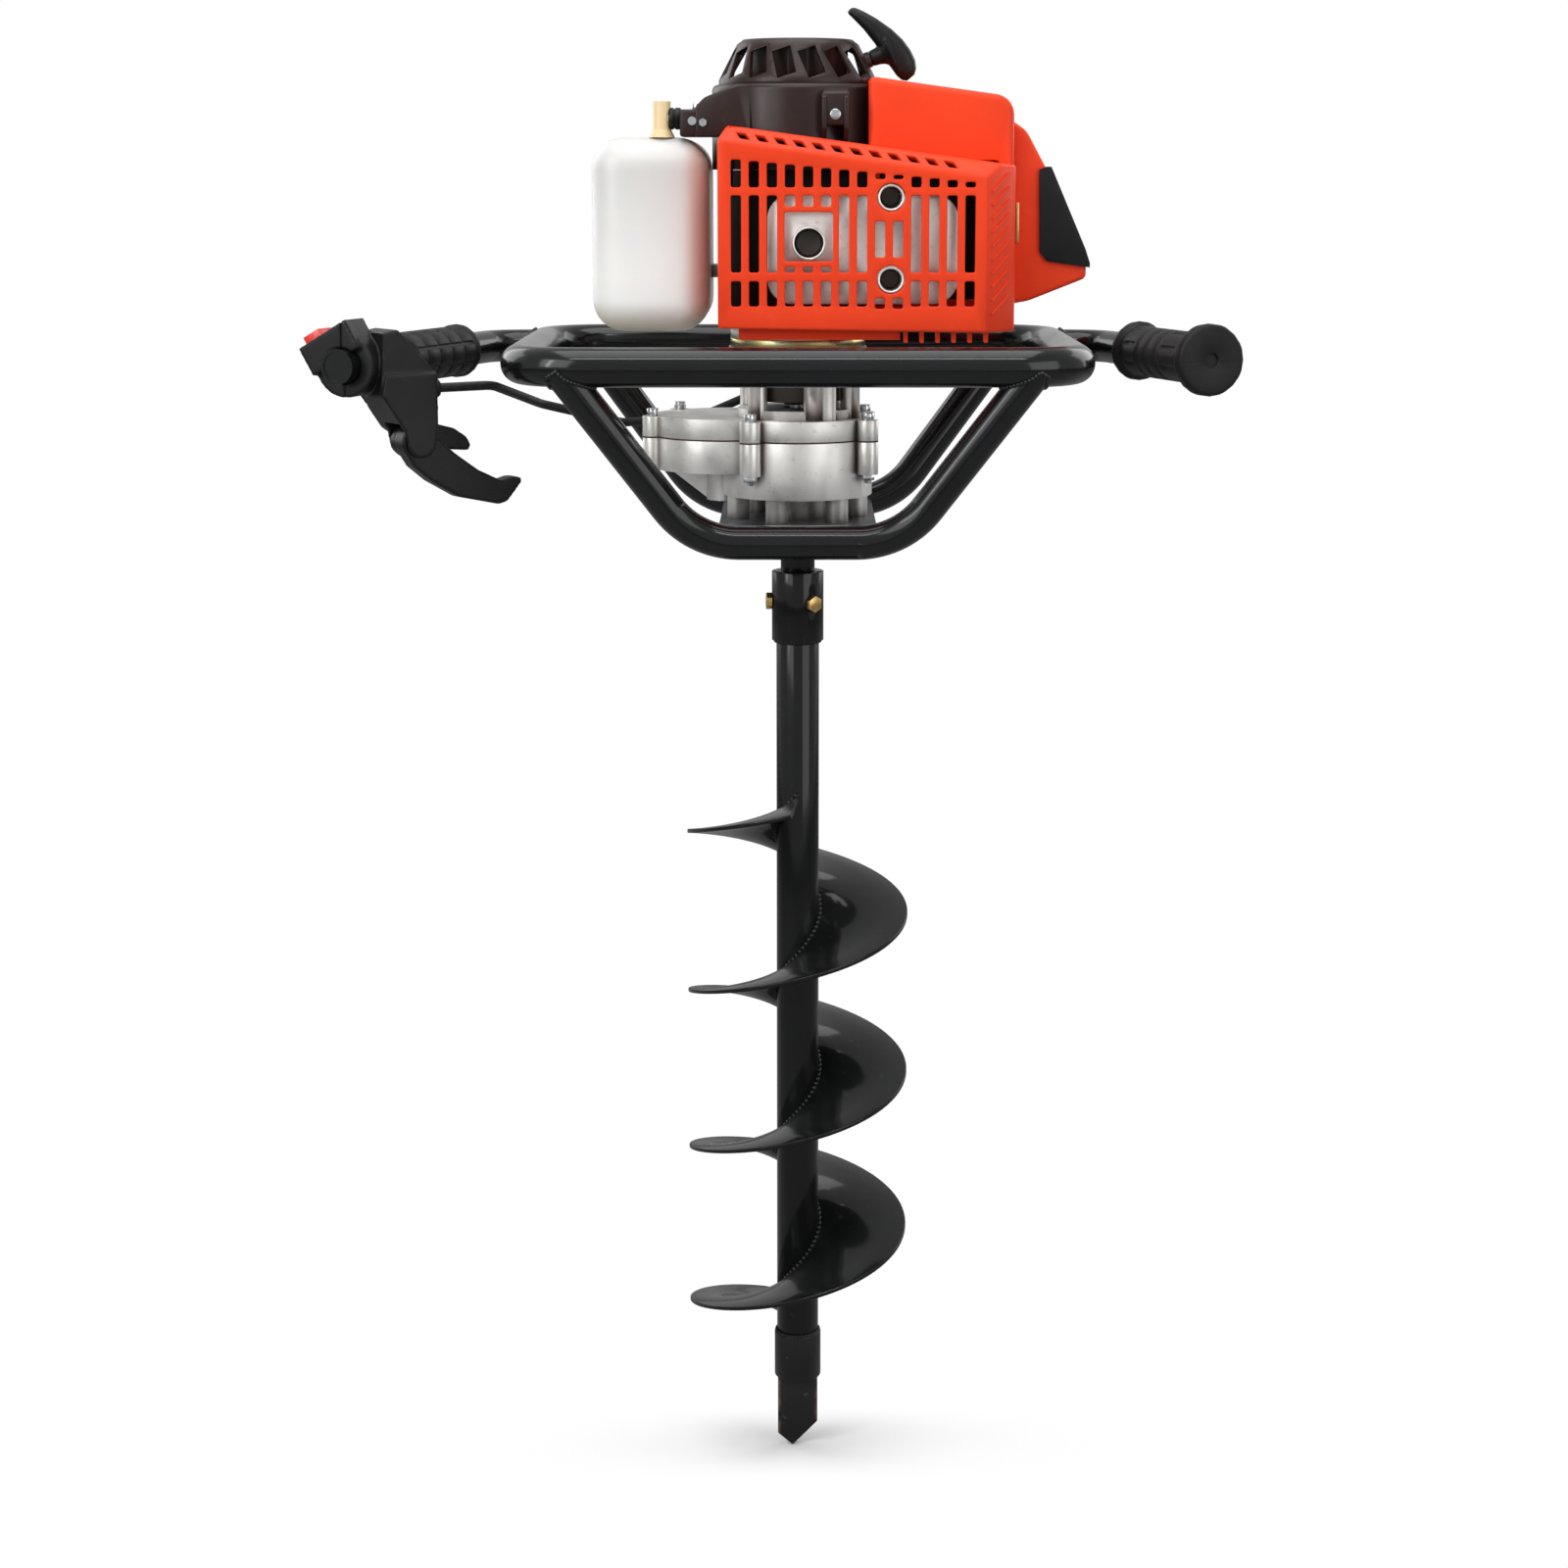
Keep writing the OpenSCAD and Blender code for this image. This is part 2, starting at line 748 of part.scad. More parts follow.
module gearbox_lower_case() {
    color("lightgray")
        difference() {
            union() {
                translate([0, 0, case_z])
                    cylinder(h = case_h, r = case_r);
                translate([lay_c[0], lay_c[1], boss_z])
                    cylinder(h = boss_h, r = case_r);
                translate([0, 0, boss_z])
                    boss_places()
                        cylinder(h = boss_h, r = boss_r);
                translate([lay_c[0], lay_c[1], lay_low_z - 3])
                    cylinder(h = boss_z - lay_low_z + 4, r = pinion_r + tooth_top + gear_space + case_wall);
                translate([lay_c[0], lay_c[1], 0])
                    rotate([0, 0, lay_angle])
                        side_prism([[0, lay_low_z - 3], [0, boss_z + e], [case_r - 4, boss_z + e],
                            [pinion_r + tooth_top + case_wall, lay_low_z - 3]], -lobe_rib_t / 2, lobe_rib_t / 2);
                translate([0, 0, plate_z])
                    cylinder(h = post_h + e, r = out_bearing_r + case_wall);
                translate([0, 0, plate_z])
                    case_posts()
                        cylinder(h = post_h + e, d = post_d);
            }
            translate([0, 0, floor_z])
                cylinder(h = case_h, r = cavity_r);
            translate([lay_c[0], lay_c[1], boss_z + case_floor])
                cylinder(h = boss_h, r = cavity_r);
            translate([lay_c[0], lay_c[1], low_gear_z - 2])
                cylinder(h = case_h, r = pinion_r + tooth_top + gear_space);
            translate([lay_c[0], lay_c[1], lay_low_z])
                cylinder(h = bearing_w + e, r = lay_bearing_r);
            translate([0, 0, plate_z - e])
                cylinder(h = post_h + case_floor + 2 * e, r = out_bearing_r);
            translate([0, 0, boss_z - e])
                boss_places()
                    cylinder(h = boss_h + 2 * e, d = case_bolt_d);
            translate([0, 0, plate_z - e])
                case_posts()
                    cylinder(h = post_h - 3 + e, d = base_bolt_d);
        }
}

module gearbox_gasket() {
    color("saddlebrown")
        translate([0, 0, seam_z])
            linear_extrude(gasket_t)
                difference() {
                    case_outline();
                    circle(cavity_r);
                    translate(lay_c)
                        circle(cavity_r);
                    boss_places()
                        circle(d = case_bolt_d);
                }
}

module case_outline() {
    circle(case_r);
    translate(lay_c)
        circle(case_r);
    boss_places()
        circle(boss_r);
}

module gearbox_upper_case() {
    color("lightgray")
        difference() {
            union() {
                translate([0, 0, lid_z])
                    linear_extrude(lid_h)
                        case_outline();
            }
            difference() {
                translate([0, 0, lid_z - e])
                    linear_extrude(lid_h - case_floor + e) {
                        circle(cavity_r);
                        translate(lay_c)
                            circle(cavity_r);
                    }
                translate([lay_c[0], lay_c[1], lay_top_z])
                    cylinder(h = lid_h * 2, r = lay_bearing_r + case_wall);
                translate([0, 0, lid_top - bearing_w])
                    cylinder(h = lid_h * 2, r = in_bearing_r + case_wall);
            }
            translate([lay_c[0], lay_c[1], lay_top_z - e])
                cylinder(h = bearing_w + e, r = lay_bearing_r);
            translate([0, 0, lid_z])
                cylinder(h = lid_h + e, r = in_bearing_r);
            translate([0, 0, lid_z - e])
                boss_places()
                    cylinder(h = lid_h + 2 * e, d = case_bolt_d);
        }
}

module gearbox_bolts() {
    color("silver")
        boss_places() {
            translate([0, 0, boss_z - 6])
                cylinder(h = lid_top - boss_z + 6 + e, d = case_bolt_d);
            translate([0, 0, boss_z - 4])
                cylinder(h = 4, d = case_bolt_head / cos(30), $fn = 6);
            translate([0, 0, lid_top])
                cylinder(h = case_bolt_d, d = case_bolt_head);
        }
}

module gearbox_bearings() {
    color("silver") {
        for (z = [plate_z + 1, floor_z - bearing_w])
            translate([0, 0, z])
                ring(out_bearing_r, out_collar_d / 2 + run_clear, bearing_w);
        for (z = [lay_low_z, lay_top_z])
            translate([lay_c[0], lay_c[1], z])
                ring(lay_bearing_r, lay_shaft_d / 2 + run_clear, bearing_w);
        translate([0, 0, lid_top - bearing_w])
            ring(in_bearing_r, in_shaft_d / 2 + run_clear, bearing_w);
    }
}

// Frame

module frame_hoop() {
    color("black")
        tube_loop(hoop_w / 2, hoop_depth / 2, hoop_z, hoop_bend, hoop_r, hoop_r - tube_wall);
}

// A U-shaped leg on the given side of the frame
module leg(side) {
    y0 = side * hoop_depth / 2;
    y1 = side * leg_low_depth / 2;
    color("black")
        difference() {
            tube_path([[-leg_top_w / 2, y0, hoop_z], [-leg_low_w / 2, y1, leg_z], [leg_low_w / 2, y1, leg_z],
                [leg_top_w / 2, y0, hoop_z]], leg_bend, leg_r, leg_r - tube_wall);
            tube_loop(hoop_w / 2, hoop_depth / 2, hoop_z, hoop_bend, hoop_r, 0);
            translate([-hoop_w, y0 - hoop_depth / 4, hoop_z])
                cube([2 * hoop_w, hoop_depth / 2, hoop_r * 3]);
        }
}

module front_leg() {
    leg(-1);
}

module rear_leg() {
    leg(1);
}

module base_plate() {
    reach = leg_low_depth / 2 - leg_r;
    color("dimgray")
        difference() {
            translate([-plate_w / 2, -reach, leg_z - plate_t / 2])
                cube([plate_w, 2 * reach, plate_t]);
            translate([0, 0, leg_z - plate_t])
                cylinder(h = 2 * plate_t, r = out_collar_d / 2 + 1.5);
            translate([0, 0, leg_z - plate_t])
                case_posts()
                    cylinder(h = 2 * plate_t, d = base_bolt_d);
        }
}

module base_bolts() {
    color("silver")
        case_posts() {
            translate([0, 0, plate_z - plate_t])
                cylinder(h = plate_t + post_h - 4, d = base_bolt_d);
            translate([0, 0, plate_z - plate_t - 4])
                cylinder(h = 4, d = base_bolt_d * 1.9, $fn = 6);
        }
}

// Handle tube from the hoop's side to its free end
module handle_tube(side, corner, start, dir, length) {
    root = [side * hoop_w / 2, handle_root_y, hoop_z];
    color("black")
        difference() {
            tube_path([root, corner, start + dir * length], handle_bend, bar_r, bar_r - tube_wall);
            tube_loop(hoop_w / 2, hoop_depth / 2, hoop_z, hoop_bend, hoop_r, 0);
        }
}

module left_handle_tube() {
    handle_tube(-1, left_corner, left_start, left_dir, left_len);
    color("black")
        aim(left_start + left_dir * (left_len - end_cap_t - 0.6), left_dir)
            cylinder(h = end_cap_t, r = bar_r - tube_wall / 2);
}

module right_handle_tube() {
    handle_tube(1, right_corner, right_start, right_dir, right_len);
}

module right_grip() {
    color([0.1, 0.1, 0.1])
        aim(right_start, right_dir)
            difference() {
                union() {
                    cylinder(h = right_len, d = grip_d);
                    cylinder(h = 7, d = grip_flange_d);
                    translate([0, 0, right_len + 4 - grip_end_t])
                        cylinder(h = grip_end_t, d = grip_end_d);
                }
                translate([0, 0, -e])
                    cylinder(h = right_len + e, r = bar_r);
                for (z = [32, 46, 60])
                    translate([0, 0, z])
                        ring(grip_d, grip_d / 2 - groove_deep, groove_w);
                translate([0, 0, right_len + 2])
                    cylinder(h = 4, d = 9);
            }
}

module left_grip() {
    color([0.1, 0.1, 0.1])
        aim(left_start, left_dir)
            difference() {
                union() {
                    cylinder(h = left_grip_len, d = grip_d);
                    cylinder(h = 6, d = grip_d + 2);
                }
                translate([0, 0, -e])
                    cylinder(h = left_grip_len + 2 * e, r = bar_r);
                for (z = [22, 40, 58, 76])
                    translate([0, 0, z])
                        ring(grip_d, grip_d / 2 - groove_deep, groove_w);
            }
}

// Clutch

module clutch_drum() {
    color("gray")
        difference() {
            union() {
                translate([0, 0, drum_z])
                    cylinder(h = drum_h, r = drum_r);
                translate([0, 0, drum_z - 3])
                    cylinder(h = 4, r = in_bearing_r - 1);
            }
            translate([0, 0, drum_z + drum_wall])
                cylinder(h = drum_h, r = drum_r - drum_wall);
            translate([0, 0, drum_z - 4])
                cylinder(h = drum_h, d = in_shaft_d);
        }
}

module clutch_shoes() {
    color("darkgray")
        for (s = [0, 180])
            rotate([0, 0, s])
                translate([0, 0, shoe_z])
                    linear_extrude(drum_h - drum_wall - 6)
                        difference() {
                            circle(drum_r - drum_wall - 0.6);
                            circle(crank_r);
                            translate([-drum_d, -drum_d + 1.5])
                                square([2 * drum_d, drum_d]);
                        }
}

module clutch_housing() {
    color("lightgray")
        difference() {
            union() {
                translate([0, 0, lid_top])
                    cylinder(h = flange_t, r = column_ring + column_d / 2 - 4);
                translate([0, 0, clutch_top - flange_t])
                    ring(column_ring + column_d / 2 + 2, mount_hole, flange_t);
                for (a = [-135, -74, -60, -22, 45, 90, 150])
                    rotate([0, 0, a])
                        translate([column_ring, 0, lid_top])
                            cylinder(h = clutch_h, d = column_d);
            }
            translate([0, 0, lid_top - e])
                cylinder(h = flange_t + 2 * e, r = in_bearing_r);
        }
}

module mount_plate() {
    color("goldenrod")
        translate([0, 0, clutch_top])
            ring(mount_d / 2, mount_hole, mount_t);
}

// Engine

module crankcase_lower() {
    low = web_low - 3;
    color("darkgray")
        difference() {
            union() {
                translate([0, 0, engine_z])
                    cylinder(h = 6, d = mount_d);
                translate([0, 0, engine_z])
                    cylinder(h = cyl_h, d = crankcase_d);
                translate([0, -28, cyl_z - 28])
                    cube([pad_x, 56, 28]);
                translate([-57, -18, web_low - 12])
                    cube([57, 36, 8]);
            }
            translate([0, 0, low])
                cylinder(h = cyl_h, r = case_in_r);
            translate([0, 0, engine_z - e])
                cylinder(h = low - engine_z - 10 + e, r = case_in_r);
            translate([0, 0, engine_z])
                cylinder(h = cyl_h, r = crank_r + run_clear);
            translate([0, 0, cyl_z])
                rotate([0, 90, 0])
                    cylinder(h = pad_x + e, d = barrel_d - 4);
        }
}

module crankcase_upper() {
    color("darkgray")
        difference() {
            union() {
                translate([0, 0, cyl_z])
                    cylinder(h = crankcase_top - cyl_z, d = crankcase_d);
                translate([0, -28, cyl_z])
                    cube([pad_x, 56, 28]);
            }
            translate([0, 0, cyl_z - e])
                cylinder(h = web_top + 3 - cyl_z + e, r = case_in_r);
            translate([0, 0, cyl_z])
                cylinder(h = crankcase_top, r = crank_r + run_clear);
            translate([0, 0, cyl_z])
                rotate([0, 90, 0])
                    cylinder(h = pad_x + e, d = barrel_d - 4);
        }
}

module crankshaft() {
    color("silver") {
        translate([0, 0, crank_low])
            cylinder(h = web_low + e - crank_low, r = crank_r);
        translate([0, 0, web_low])
            cylinder(h = web_t, d = web_d);
        translate([-stroke / 2, 0, web_low + web_t - e])
            cylinder(h = web_gap + 2 * e, r = crank_r - 1);
        translate([0, 0, web_top - web_t])
            cylinder(h = web_t, d = web_d);
        translate([0, 0, web_top - e])
            cylinder(h = hub_top + e - web_top, r = crank_r);
    }
}

module flywheel() {
    color("silver")
        difference() {
            union() {
                translate([0, 0, fly_z])
                    cylinder(h = flywheel_t, d = flywheel_d);
                translate([0, 0, fly_z])
                    cylinder(h = hub_top - fly_z, r = crank_r + 9);
                for (i = [0 : fan_blades - 1])
                    rotate([0, 0, 360 / fan_blades * i])
                        translate([flywheel_d / 2 - 18, -1.2, fly_top - e])
                            cube([17, 2.4, blade_h + e]);
            }
            translate([0, 0, fly_z - e])
                cylinder(h = hub_top, r = crank_r);
        }
}

module cylinder_pieces() {
    translate([pad_x, 0, cyl_z])
        rotate([0, 90, 0])
            children();
}

module engine_cylinder() {
    color("silver")
        difference() {
            union() {
                cylinder_pieces() {
                    cylinder(h = barrel_x - pad_x, d = barrel_d);
                    translate([0, 0, (barrel_x - pad_x)])
                        cylinder(h = head_x - barrel_x, d = barrel_d + 6);
                }
                translate([pad_x, -28, cyl_z - 28])
                    cube([5, 56, 56]);
                for (i = [0 : fins_n - 1])
                    translate([fin_x + i * fin_pitch, -fin_w / 2, cyl_z - fin_w / 2])
                        cube([fin_t, fin_w, fin_w]);
                translate([port_x, 42, cyl_z])
                    rotate([90, 0, 0])
                        cylinder(h = 82, r = port_r);
            }
            translate([pad_x - e, 0, cyl_z])
                rotate([0, 90, 0])
                    cylinder(h = bore_x - pad_x + e, d = bore_d);
            translate([port_x, 43, cyl_z])
                rotate([90, 0, 0])
                    cylinder(h = 84, r = port_r - 3);
            translate([bore_x - e, 0, cyl_z])
                rotate([0, 90, 0])
                    cylinder(h = head_x, d = 10);
        }
}

module spark_plug() {
    color("white") {
        translate([barrel_x, 0, cyl_z])
            rotate([0, 90, 0])
                cylinder(h = head_x - barrel_x + e, d = 10);
        translate([head_x, 0, cyl_z])
            rotate([0, 90, 0])
                cylinder(h = 8, d = 18, $fn = 6);
        translate([head_x, 0, cyl_z])
            rotate([0, 90, 0])
                cylinder(h = 32, d = 9);
    }
}

module piston() {
    color("silver")
        difference() {
            translate([piston_low, 0, cyl_z])
                rotate([0, 90, 0])
                    cylinder(h = piston_len, r = bore_d / 2 - run_clear);
            translate([piston_low - e, 0, cyl_z])
                rotate([0, 90, 0])
                    cylinder(h = piston_len - 5, r = bore_d / 2 - 4);
            translate([wrist_x, bore_d / 2 - 1, cyl_z])
                rotate([90, 0, 0])
                    cylinder(h = bore_d - 2, r = 5);
        }
}

module connecting_rod() {
    rod_end = web_d / 2 + stroke / 2 + 1;
    color("gray") {
        translate([rod_end, -6, cyl_z - 4])
            cube([wrist_x - rod_end, 12, 8]);
        translate([wrist_x, bore_d / 2 - 1, cyl_z])
            rotate([90, 0, 0])
                cylinder(h = bore_d - 2, r = 5);
    }
}

// Covers

function hood_line(x) = hood_z - (x - hood_x0) * hood_drop;

module cylinder_cover() {
    y0 = -hood_y / 2;
    y1 = hood_y / 2;
    w = cover_wall;
    nose = hood_x + nose_len;
    color("orangered")
        difference() {
            union() {
                side_prism([[hood_x0, hood_low], [hood_x0, hood_z], [hood_x - 8, hood_line(hood_x - 8)],
                    [hood_x - 1.5, hood_line(hood_x) - 6], [hood_x, hood_low]], y0, y1);
                side_prism([[hood_x - w, cyl_z + 74], [hood_x + 8, cyl_z + 67], [hood_x + 21, cyl_z + 43],
                    [nose - 3, cyl_z - 10], [nose, cyl_z - 18], [nose, cyl_z - 28], [hood_x + 10, cyl_z - 43],
                    [hood_x - w, cyl_z - 45]], -32, 34);
            }
            side_prism([[hood_x0 - w, hood_low - e], [hood_x0 - w, hood_z - w + w * hood_drop],
                [hood_x - 8 - w / 2, hood_line(hood_x - 8) - w], [hood_x - 1.5 - w, hood_line(hood_x) - 6 - w],
                [hood_x - w, hood_low - e]], y0 + w, y1 - w);
            side_prism([[hood_x - 2 * w, cyl_z + 74 - w], [hood_x + 8 - w, cyl_z + 67 - w], [hood_x + 18, cyl_z + 42],
                [nose - 6, cyl_z - 11], [nose - w, cyl_z - 18], [nose - w, cyl_z - 26], [hood_x + 10, cyl_z - 40],
                [hood_x - 2 * w, cyl_z - 42]], -32 + w, 34 - w);
            translate([0, 0, shroud_top - 3 * w])
                cylinder(h = dome_h, d = dome_base_d + 0.6);
            translate([hood_x0 - e, y0 - e, hood_low - e])
                cube([guard_right - hood_x0 - 6, w + 2 * e, guard_top - hood_low - 20]);
            translate([hood_x0 - e, y1 - w - e, hood_low - e])
                cube([55, w + 2 * e, 90]);
        }
}

module plug_cover() {
    nose = hood_x + nose_len;
    w = cover_wall;
    color([0.1, 0.1, 0.1])
        difference() {
            side_prism([[hood_x + 16, cyl_z + 42], [hood_x + 20.5, cyl_z + 44], [hood_x + 24, cyl_z + 44],
                [nose - 1, cyl_z - 9], [nose + 2, cyl_z - 18], [nose + 2, cyl_z - 21], [hood_x + 22, cyl_z - 17],
                [hood_x + 17, cyl_z - 11]], -32 - w, 22);
            side_prism([[hood_x, cyl_z + 81.77], [hood_x + 21, cyl_z + 43], [nose - 3, cyl_z - 10],
                [nose, cyl_z - 18], [nose, cyl_z - 60], [hood_x, cyl_z - 60]], -32, 60);
        }
}

module muffler() {
    color("silver")
        difference() {
            union() {
                translate([muffler_x, -guard_y + muffler_gap + muffler_t, muffler_z])
                    rotate([90, 0, 0])
                        linear_extrude(muffler_t)
                            round_rect(muffler_w, muffler_h, muffler_round);
                translate([outlet_x, -guard_y + 2 * muffler_gap, outlet_z])
                    rotate([90, 0, 0])
                        cylinder(h = 2 * muffler_gap, d = outlet_d + 2 * outlet_wall);
                for (z = [bolt_up, bolt_down])
                    translate([bolt_x, -guard_y + muffler_gap + 4, z])
                        rotate([90, 0, 0])
                            cylinder(h = muffler_gap + 3, d = bolt_tube_d);
            }
            translate([muffler_x, -guard_y + muffler_gap + muffler_t - muffler_wall, muffler_z])
                rotate([90, 0, 0])
                    linear_extrude(muffler_t - 2 * muffler_wall)
                        difference() {
                            round_rect(muffler_w - 2 * muffler_wall, muffler_h - 2 * muffler_wall,
                                muffler_round - muffler_wall);
                            for (z = [bolt_up, bolt_down])
                                translate([bolt_x - muffler_x, z - muffler_z])
                                    circle(d = bolt_tube_d);
                        }
            translate([outlet_x, -guard_y + 2 * muffler_gap + 1, outlet_z])
                rotate([90, 0, 0])
                    cylinder(h = 2 * muffler_gap + 2, d = outlet_d);
            for (z = [bolt_up, bolt_down])
                translate([bolt_x, -guard_y + muffler_gap + muffler_t - 2 * muffler_wall, z])
                    rotate([90, 0, 0])
                        cylinder(h = muffler_gap + muffler_t - 2 * muffler_wall + 1, d = bolt_tube_d - 3);
            translate([port_x, -guard_y + muffler_gap + muffler_t + 2, cyl_z])
                rotate([90, 0, 0])
                    cylinder(h = 8, r = port_r - 3);
        }
}

// Outer or inner block of the muffler guard, set in by w
module guard_block(w, back) {
    top = guard_top - w;
    difference() {
        side_prism([[-guard_left + w, guard_z + w], [-guard_left + w, top - 8], [-guard_left + 6 + w, top],
            [guard_right - w, top - (guard_right + guard_left - 6) * guard_drop], [guard_right - w, guard_z - 3 + w]],
            -guard_y + w, -back);
        translate([-guard_left, -guard_y + w, guard_top - facet_h - w * 0.6])
            rotate([0, guard_slope, 0])
                rotate([facet_turn, 0, 0])
                    translate([-20, -30, 0])
                        cube([260, 90, 60]);
        translate([guard_right - 20 - w * 0.5, -guard_y + w, 0])
            rotate([0, 0, 52])
                translate([-40, -60, guard_z - 20])
                    cube([120, 60, 260]);
    }
}

// Slot of one column between two heights
module guard_slot(x, z0, z1) {
    translate([x - slot_w / 2, -guard_y - 5, z0])
        cube([slot_w, 12, z1 - z0]);
}

module muffler_guard() {
    color("orangered")
        difference() {
            guard_block(0, guard_back);
            guard_block(cover_wall, guard_back - e);
            for (i = [0 : slots_n - 1]) {
                x = slot_x0 + i * slot_pitch;
                top = guard_top - 20 - (x + guard_left) * 0.083;
                if (abs(x - bolt_x) < slot_pitch) {
                    guard_slot(x, bolt_up + 11.5, top);
                    guard_slot(x, bolt_down + 14, bolt_up - 15);
                    guard_slot(x, guard_z + 13, bolt_down - 11.5);
                } else {
                    guard_slot(x, cyl_z + 31, top);
                    guard_slot(x, cyl_z - 22.5, cyl_z + 26);
                    guard_slot(x, guard_z + 14, cyl_z - 28);
                }
            }
            translate([outlet_x - 15.4, -guard_y - 5, cyl_z - 17.5])
                cube([30.8, 12, 34]);
            for (z = [bolt_up, bolt_down])
                translate([bolt_x, -guard_y + 10, z])
                    rotate([90, 0, 0])
                        cylinder(h = 20, d = 18);
            for (i = [0 : 11])
                translate([-guard_left, -guard_y, guard_top - facet_h])
                    rotate([0, guard_slope, 0])
                        rotate([facet_turn, 0, 0])
                            translate([17 + i * 12.1, facet_w / 2, 0])
                                rotate([0, 0, 24])
                                    cube([7, 5.5, 9], center = true);
            translate([0, 0, shroud_z - e])
                cylinder(h = shroud_h, d = shroud_d + 1);
        }
}

module cover_screws() {
    color("silver") {
        translate([24, -62, shroud_top - 20])
            rotate([90, 0, 0])
                cylinder(h = 3, d = 7);
        translate([-65, -38, lug_z + 18])
            cylinder(h = 4, d = 7);
        for (z = [bolt_up, bolt_down])
            translate([bolt_x, -guard_y + 42, z])
                rotate([90, 0, 0])
                    cylinder(h = 5, d = 10, $fn = 6);
    }
}

module fan_shroud() {
    r = shroud_d / 2;
    color([0.2, 0.14, 0.13])
        difference() {
            union() {
                translate([0, 0, shroud_z])
                    cylinder(h = shroud_h, r = r);
                translate([15, -62, shroud_top - 25])
                    cube([18, 20, 22]);
                translate([-76, -50, lug_z])
                    cube([30, 26, 18]);
            }
            translate([0, 0, shroud_z + cover_wall])
                cylinder(h = shroud_h - 2 * cover_wall, r = r - cover_wall);
            translate([0, 0, shroud_z - e])
                cylinder(h = shroud_h, r = crank_r + 12);
            translate([0, 0, shroud_top - 2 * cover_wall])
                cylinder(h = shroud_h, d = dome_base_d - 10);
            translate([hood_x0, -100, shroud_z - e])
                cube([100, 200, shroud_h + 2 * e]);
        }
}

module starter_cover() {
    r0 = dome_base_d / 2;
    r1 = dome_top_d / 2;
    w = cover_wall;
    color([0.2, 0.14, 0.13])
        difference() {
            union() {
                translate([0, 0, shroud_top])
                    rotate_extrude()
                        polygon([[r0 - w, 0], [r0, 0], [r0, 3], [r1 + 2, dome_h - 3], [r1 - 2, dome_h], [0, dome_h],
                            [0, dome_h - w], [r1 - 3, dome_h - w], [r1 - 1, dome_h - 4], [r0 - w - 1, 3]]);
                translate([0, 0, reel_z + 0.3])
                    cylinder(h = dome_top - w - reel_z, d = reel_post_d);
                translate([0, 0, shroud_top + 2])
                    linear_extrude(dome_h - 2 - w / 2)
                        difference() {
                            circle(d = reel_d + 6);
                            circle(d = reel_d + 2);
                        }
                aim(pull_from - 7 * pull_dir, pull_dir)
                    cylinder(h = 9, d = rope_d + 7);
            }
            for (i = [0 : dome_slots - 1])
                rotate([0, 0, 360 / dome_slots * (i + 0.5)])
                    if (i > 0 && i < dome_slots - 1)
                        translate([(r0 + r1) / 2, 0, shroud_top + dome_h / 2 - 1])
                            rotate([dome_lean, 0, 0])
                                cube([24, r0 * 0.24, dome_h - 11], center = true);
            aim(pull_from - 12 * pull_dir, pull_dir)
                cylinder(h = 30, d = rope_d + 0.7);
        }
}

// Fuel and air

module tank_block(w) {
    intersection() {
        translate([tank_x, tank_depth / 2 - w, tank_z + tank_h / 2])
            rotate([90, 0, 0])
                linear_extrude(tank_depth - 2 * w)
                    round_rect(tank_w - 2 * w, tank_h - 2 * w, tank_r - w);
        translate([tank_x, 0, tank_z + w])
            linear_extrude(tank_h - 2 * w)
                round_rect(tank_w - 2 * w, tank_depth - 2 * w, tank_r - w);
    }
}

module tank_neck() {
    translate([tank_x, tank_depth / 2 - tank_wall - 1, tank_top - 34])
        rotate([-90, 0, 0])
            children();
}

module fuel_tank() {
    color("white")
        difference() {
            union() {
                tank_block(0);
                tank_neck()
                    cylinder(h = 10, d = cap_d - 12);
            }
            tank_block(tank_wall);
            tank_neck()
                cylinder(h = 12, d = cap_d - 17);
        }
}

module filler_cap() {
    color([0.1, 0.1, 0.1])
        tank_neck()
            translate([0, 0, tank_wall + 1])
                difference() {
                    translate([0, 0, 0.3])
                        cylinder(h = cap_h, d = cap_d);
                    translate([0, 0, -e])
                        cylinder(h = 8, d = cap_d - 12 + 2 * run_clear);
                }
}

module fuel_grommet() {
    color("wheat") {
        translate(grommet_c)
            cylinder(h = 5, r1 = 8.5, r2 = 6);
        translate(grommet_c)
            cylinder(h = 23, d = 11.5);
        translate(grommet_c + [0, 0, 12])
            rotate([0, 90, 0])
                cylinder(h = 12, d = 9);
    }
}

module carburettor() {
    color("gray")
        difference() {
            translate([port_x - 16, 42, cyl_z - 18])
                cube([32, 30, 36]);
            translate([port_x, 73, cyl_z])
                rotate([90, 0, 0])
                    cylinder(h = 32, r = port_r - 3);
        }
}

filter_x0 = port_x - 32;
filter_x1 = port_x + 40;

module air_filter_cover() {
    w = cover_wall;
    color([0.1, 0.1, 0.1]) {
        difference() {
            translate([(filter_x0 + filter_x1) / 2, 104, cyl_z - 1])
                rotate([90, 0, 0])
                    linear_extrude(32)
                        round_rect(filter_x1 - filter_x0, 74, 12);
            translate([(filter_x0 + filter_x1) / 2, 104 - w, cyl_z - 1])
                rotate([90, 0, 0])
                    linear_extrude(32 - 2 * w)
                        round_rect(filter_x1 - filter_x0 - 2 * w, 74 - 2 * w, 12 - w);
            translate([port_x, 80, cyl_z])
                rotate([90, 0, 0])
                    cylinder(h = 20, r = port_r - 3);
        }
        translate([filter_x1 - w, 84, cyl_z + 10])
            rotate([0, 90, 0])
                cylinder(h = 9, d = 6);
    }
}

